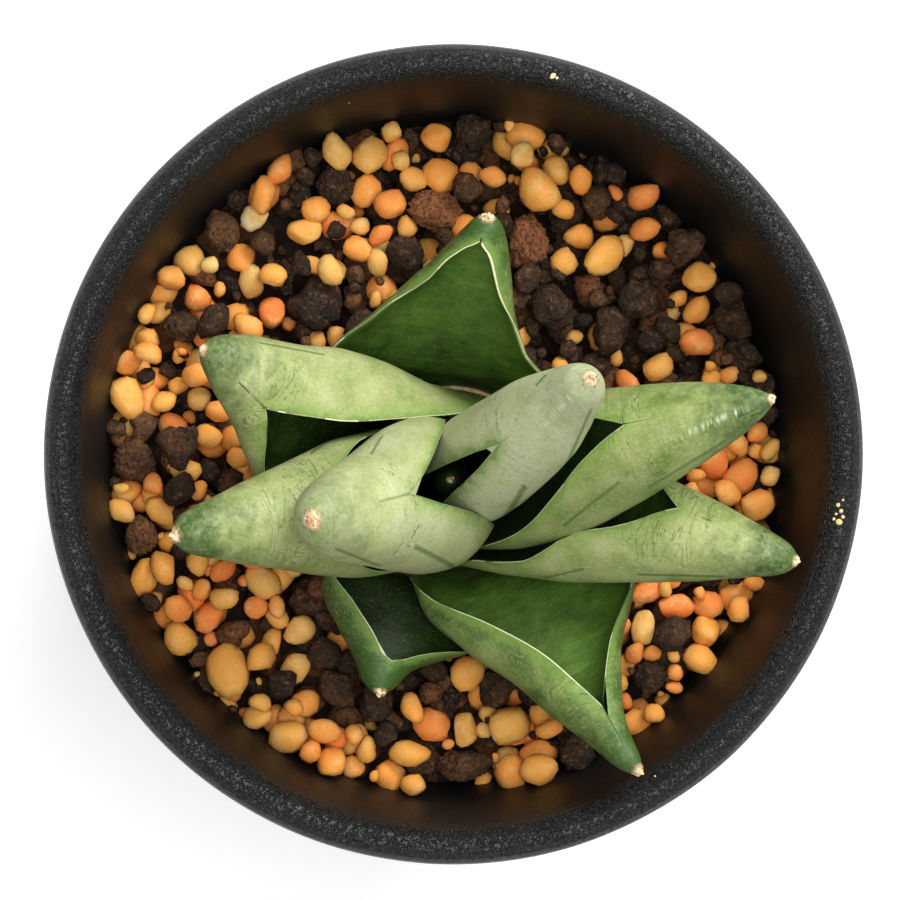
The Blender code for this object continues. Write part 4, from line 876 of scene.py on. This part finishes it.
def layGrains(leafTrees, stoneBoxes):
    # grains are laid one by one: a lower layer, then those that the picture shows one by one,
    # then more in the gaps, each where it rests lowest of a few tries
    rng = random.Random(gritMix["seed"])
    cell, half = gritMix["cell"], 56.0
    count = int(2 * half / cell)
    grid = (np.arange(count) + 0.5) * cell - half
    ys, xs = np.meshgrid(grid, grid, indexing="ij")
    heights = np.full((count, count), gritMix["level"])
    heights[np.hypot(xs, ys) > 52.4] = 200.0
    for low, high in stoneBoxes:
        middle, size = (low + high) / 2 / mm, (high - low) / 2 / mm
        inside = ((xs - middle.x) / (size.x * 0.8)) ** 2 + ((ys - middle.y) / (size.y * 0.8)) ** 2 < 1
        heights[inside] = 200.0
    middle = Vector(leafShape["crown"])
    grains = []

    def rest(x, y, radius, top):
        # where a grain comes to lie at a place, or nothing if it has no room there
        reach = int(radius / cell) + 1
        ix, iy = int((x + half) / cell), int((y + half) / cell)
        if min(ix, iy) < reach or max(ix, iy) >= count - reach:
            return None
        area = (slice(iy - reach, iy + reach + 1), slice(ix - reach, ix + reach + 1))
        away = (xs[area] - x) ** 2 + (ys[area] - y) ** 2
        dome = np.where(away < radius * radius, np.sqrt(np.maximum(radius * radius - away, 0)), -300)
        z = float((heights[area] + dome * 0.9).max())
        if z > top:
            return None
        here = Vector((x, y, z)) * mm
        if any(tree.find_nearest(here, radius * 0.85 * mm)[0] for tree in leafTrees):
            return None
        return z, area, dome

    def keep(kind, x, y, radius, tone, place, extra=0.0):
        z, area, dome = place
        heights[area] = np.maximum(heights[area], z + extra + dome * 0.9)
        grains.append((kind, Vector((x, y, z)), radius, tone, rng.random()))

    def scatter(batches, top):
        for number, kind, least, most in batches:
            for _ in range(number):
                radius, tone, best = rng.uniform(least, most), rng.random(), None
                tone = 0.15 + 0.6 * tone ** 0.8 if kind == "clay" else 0.75 * tone
                for _ in range(gritMix["tries"]):
                    angle, far = rng.uniform(0, 2 * math.pi), math.sqrt(rng.random()) * (52.3 - radius)
                    x, y, draw = far * math.cos(angle), far * math.sin(angle), rng.random()
                    if math.hypot(x - middle.x, y - middle.y) < gritMix["rosette"] + radius * 0.5:
                        continue
                    px, py = toPixel(Vector((x, y, 75)))
                    share, weight = 0.5 * 0.35, 0.35
                    for ax, ay, wide, part in gritMix["areas"]:
                        pull = math.exp(-((px - ax) ** 2 + (py - ay) ** 2) / (wide * wide))
                        share, weight = share + pull * part, weight + pull
                    share = share / weight
                    if draw > (share if kind == "clay" else 1 - share) ** 1.6 * 1.8:
                        continue
                    found = rest(x, y, radius, top)
                    if found and (best is None or found[0] < best[2][0]):
                        best = (x, y, found)
                if best:
                    keep(kind, best[0], best[1], radius, tone, best[2])

    scatter(gritMix["lower"], 72.6)
    for kind, seen in (("clay", gritMix["seenClay"]), ("lava", gritMix["seenLava"])):
        for px, py, radius, tone in seen:
            eye, ray = sightLine(px, py)
            spot = eye + ray * ((74.6 - eye.z) / ray.z)
            far = math.hypot(spot.x, spot.y)
            if far > 52.3 - radius:  # against the wall
                spot *= (52.3 - radius) / far
            found = rest(spot.x, spot.y, radius, 78.5)
            if found:
                keep(kind, spot.x, spot.y, radius, tone, found, 1.6)
    scatter(gritMix["upper"], gritMix["top"])
    return grains


def buildGrains(name, kind, grains, material):
    rng = random.Random(len(grains))
    cuts = 5 if name == "lavaLumps" else 2
    shapes = [grainShape(kind, 100 + i, cuts) for i in range(gritMix["shapes"])]
    bm = bmesh.new()
    layer = bm.verts.layers.float.new("tone")
    for _, place, radius, tone, pick in grains:
        start = len(bm.verts)
        bm.from_mesh(shapes[int(pick * len(shapes))])
        bm.verts.ensure_lookup_table()
        fresh = bm.verts[start:]
        flat = rng.uniform(0.8, 0.98) if kind == "lava" else rng.uniform(0.72, 0.92)
        stretch = Matrix.Diagonal((rng.uniform(1.0, 1.34), rng.uniform(0.84, 1.04), flat, 1.0))
        spin = Matrix.Rotation(rng.uniform(0, 2 * math.pi), 4, "Z")
        roll = Matrix.Rotation(rng.gauss(0, 0.35), 4, "X") @ Matrix.Rotation(rng.gauss(0, 0.35), 4, "Y")
        twist = Matrix.Rotation(rng.uniform(0, 2 * math.pi), 4, "Z") @ Matrix.Rotation(rng.uniform(0, 6), 4, "X")
        matrix = Matrix.Translation(place * mm) @ spin @ roll @ stretch @ twist @ Matrix.Scale(radius * 1.08 * mm, 4)
        bmesh.ops.transform(bm, matrix=matrix, verts=fresh)
        for vert in fresh:
            vert[layer] = tone
    for shape in shapes:
        bpy.data.meshes.remove(shape)
    bmesh.ops.recalc_face_normals(bm, faces=bm.faces)
    return newPiece(name, bm, [material])


def buildStone(node, material, rng):
    # one of the large stones, finely modelled inside the box of its solid
    low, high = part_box(node)
    low, high = Vector(low), Vector(high)
    lava = node.startswith("lava")
    seed = rng.uniform(0, 90)
    planes = []
    for _ in range(13):
        normal = Vector((rng.gauss(0, 1), rng.gauss(0, 1), rng.gauss(0, 1))).normalized()
        planes.append((normal, rng.uniform(0.84, 1.0)))
    bm = bmesh.new()
    bmesh.ops.create_icosphere(bm, subdivisions=5 if lava else 4, radius=1.0)
    for vert in bm.verts:
        aim = vert.co.normalized()
        total = sum(math.exp(-10 * away / max(0.05, aim.dot(normal))) for normal, away in planes)
        reach = -math.log(total + math.exp(-11)) / 10
        if lava:
            reach += 0.13 * noise.noise(aim * 2.3 + Vector((seed, 0, 0)))
            reach += 0.10 * noise.fractal(aim * 6.5 + Vector((0, seed, 0)), 0.8, 2.2, 3)
            pit = noise.cell(aim * 5 + Vector((seed, seed, 0)))
            reach -= 0.05 * pit
        else:
            reach += 0.03 * noise.fractal(aim * 5 + Vector((seed, 0, 0)), 0.9, 2.1, 3)
        vert.co = aim * reach
    spread = [(min(v.co[i] for v in bm.verts), max(v.co[i] for v in bm.verts)) for i in range(3)]
    for vert in bm.verts:
        for i in range(3):
            part = (vert.co[i] - spread[i][0]) / (spread[i][1] - spread[i][0])
            vert.co[i] = low[i] + (high[i] - low[i]) * part
    tone = bm.verts.layers.float.new("tone")
    for vert in bm.verts:
        vert[tone] = gritMix["stoneTones"][node]
    words = node.split("_")
    name = words[0] + words[1].capitalize() + words[2]
    return newPiece(name, bm, [material], [node])


def buildFilling(material):
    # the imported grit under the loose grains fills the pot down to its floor
    top = gritMix["level"]
    profile = [(0, top), (50.7, top), (39.8, 8.4), (37.6, 6.5), (0, 6.5)]
    bm = bmesh.new()
    verts = [bm.verts.new((r * mm, 0, z * mm)) for r, z in profile]
    edges = [bm.edges.new(pair) for pair in zip(verts, verts[1:])]
    bmesh.ops.subdivide_edges(bm, edges=[edges[0]], cuts=60)
    bmesh.ops.spin(bm, geom=list(bm.verts) + list(bm.edges), cent=(0, 0, 0), axis=(0, 0, 1),
                   angle=2 * math.pi, steps=128, use_merge=True)
    bmesh.ops.remove_doubles(bm, verts=bm.verts, dist=0.01 * mm)
    crown = Vector(leafShape["crown"])
    for vert in bm.verts:
        if vert.co.z > (top - 0.5) * mm:
            away = math.hypot(vert.co.x / mm - crown.x, vert.co.y / mm - crown.y)
            vert.co.z += 0.6 * mm * noise.fractal(vert.co * 420, 0.8, 2.0, 3)
            if away < 19.2:  # a hollow for the crown
                vert.co.z = min(vert.co.z, (54.0 + max(0.0, away - 8) * 0.5) * mm)
    bmesh.ops.recalc_face_normals(bm, faces=bm.faces)
    return newPiece("gritFilling", bm, [material], ["grit_bed"])


# studio
studio = {
    "floor": 3.0,           # m across
    "floorGlow": 0.35,      # the board is lit from inside a little, so shadows stay pale
    "keyPlace": (0.27, 0.42, 0.50),
    "keySize": 0.42,
    "keyPower": 4.6,
    "fillPlace": (0.02, -0.06, 0.85),
    "fillSize": 0.6,
    "fillPower": 4.6,
    "sky": 0.28,
}


def buildStudio(material):
    bm = bmesh.new()
    bmesh.ops.create_grid(bm, x_segments=4, y_segments=4, size=studio["floor"] / 2)
    mesh = bpy.data.meshes.new("studioFloor")
    bm.to_mesh(mesh)
    bm.free()
    floor = bpy.data.objects.new("studioFloor", mesh)
    mesh.materials.append(material)
    bpy.context.scene.collection.objects.link(floor)
    for name in ("key", "fill"):
        data = bpy.data.lights.new(name + "Light", "AREA")
        data.shape = "DISK"
        data.size = studio[name + "Size"]
        data.energy = studio[name + "Power"]
        lamp = bpy.data.objects.new(name + "Light", data)
        lamp.location = studio[name + "Place"]
        aim = Vector((0, 0, 0.09)) - lamp.location
        lamp.rotation_euler = aim.to_track_quat("-Z", "Y").to_euler()
        bpy.context.scene.collection.objects.link(lamp)
    world = bpy.data.worlds.new("studioSky")
    world.use_nodes = True
    sky = world.node_tree.nodes["Background"]
    sky.inputs["Color"].default_value = (1, 1, 1, 1)
    sky.inputs["Strength"].default_value = studio["sky"]
    bpy.context.scene.world = world
    bpy.context.scene.view_settings.view_transform = "Standard"
    return floor


makeCamera()
print("camera placed")

outerSkin, innerSkin = makeOuterSkin(), makeInnerSkin()
clay, lava = makeClay(), makeLava()
print("materials made")

pot = buildPot(makePotPlastic())
buildSpecks(pot, clay)
print("nursery pot made")

leafPieces = [buildLeaf(leaf, outerSkin, innerSkin) for leaf in leaves]
print("leaves made")

buildFilling(makeFilling())
stoneNodes = sorted(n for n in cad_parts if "_stone_" in n)
stoneRandom = random.Random(5)
for node in stoneNodes:
    buildStone(node, lava if node.startswith("lava") else clay, stoneRandom)
trees = []
for piece in leafPieces:
    bm = bmesh.new()
    bm.from_mesh(piece.data)
    trees.append(BVHTree.FromBMesh(bm))
    bm.free()
boxes = [tuple(Vector(corner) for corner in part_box(node)) for node in stoneNodes]
laid = layGrains(trees, boxes)
for name, kind, least, most, material in (("clayGrains", "clay", 0, 9, clay), ("lavaGrains", "lava", 0, 2.6, lava),
                                          ("lavaLumps", "lava", 2.6, 9, lava)):
    buildGrains(name, kind, [g for g in laid if g[0] == kind and least <= g[2] < most], material)
print("grit made,", len(laid), "grains")

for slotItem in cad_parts["crown"].material_slots:
    slotItem.material = makeCrownTissue()
buildStudio(makeFloorPaint())
print("studio made")
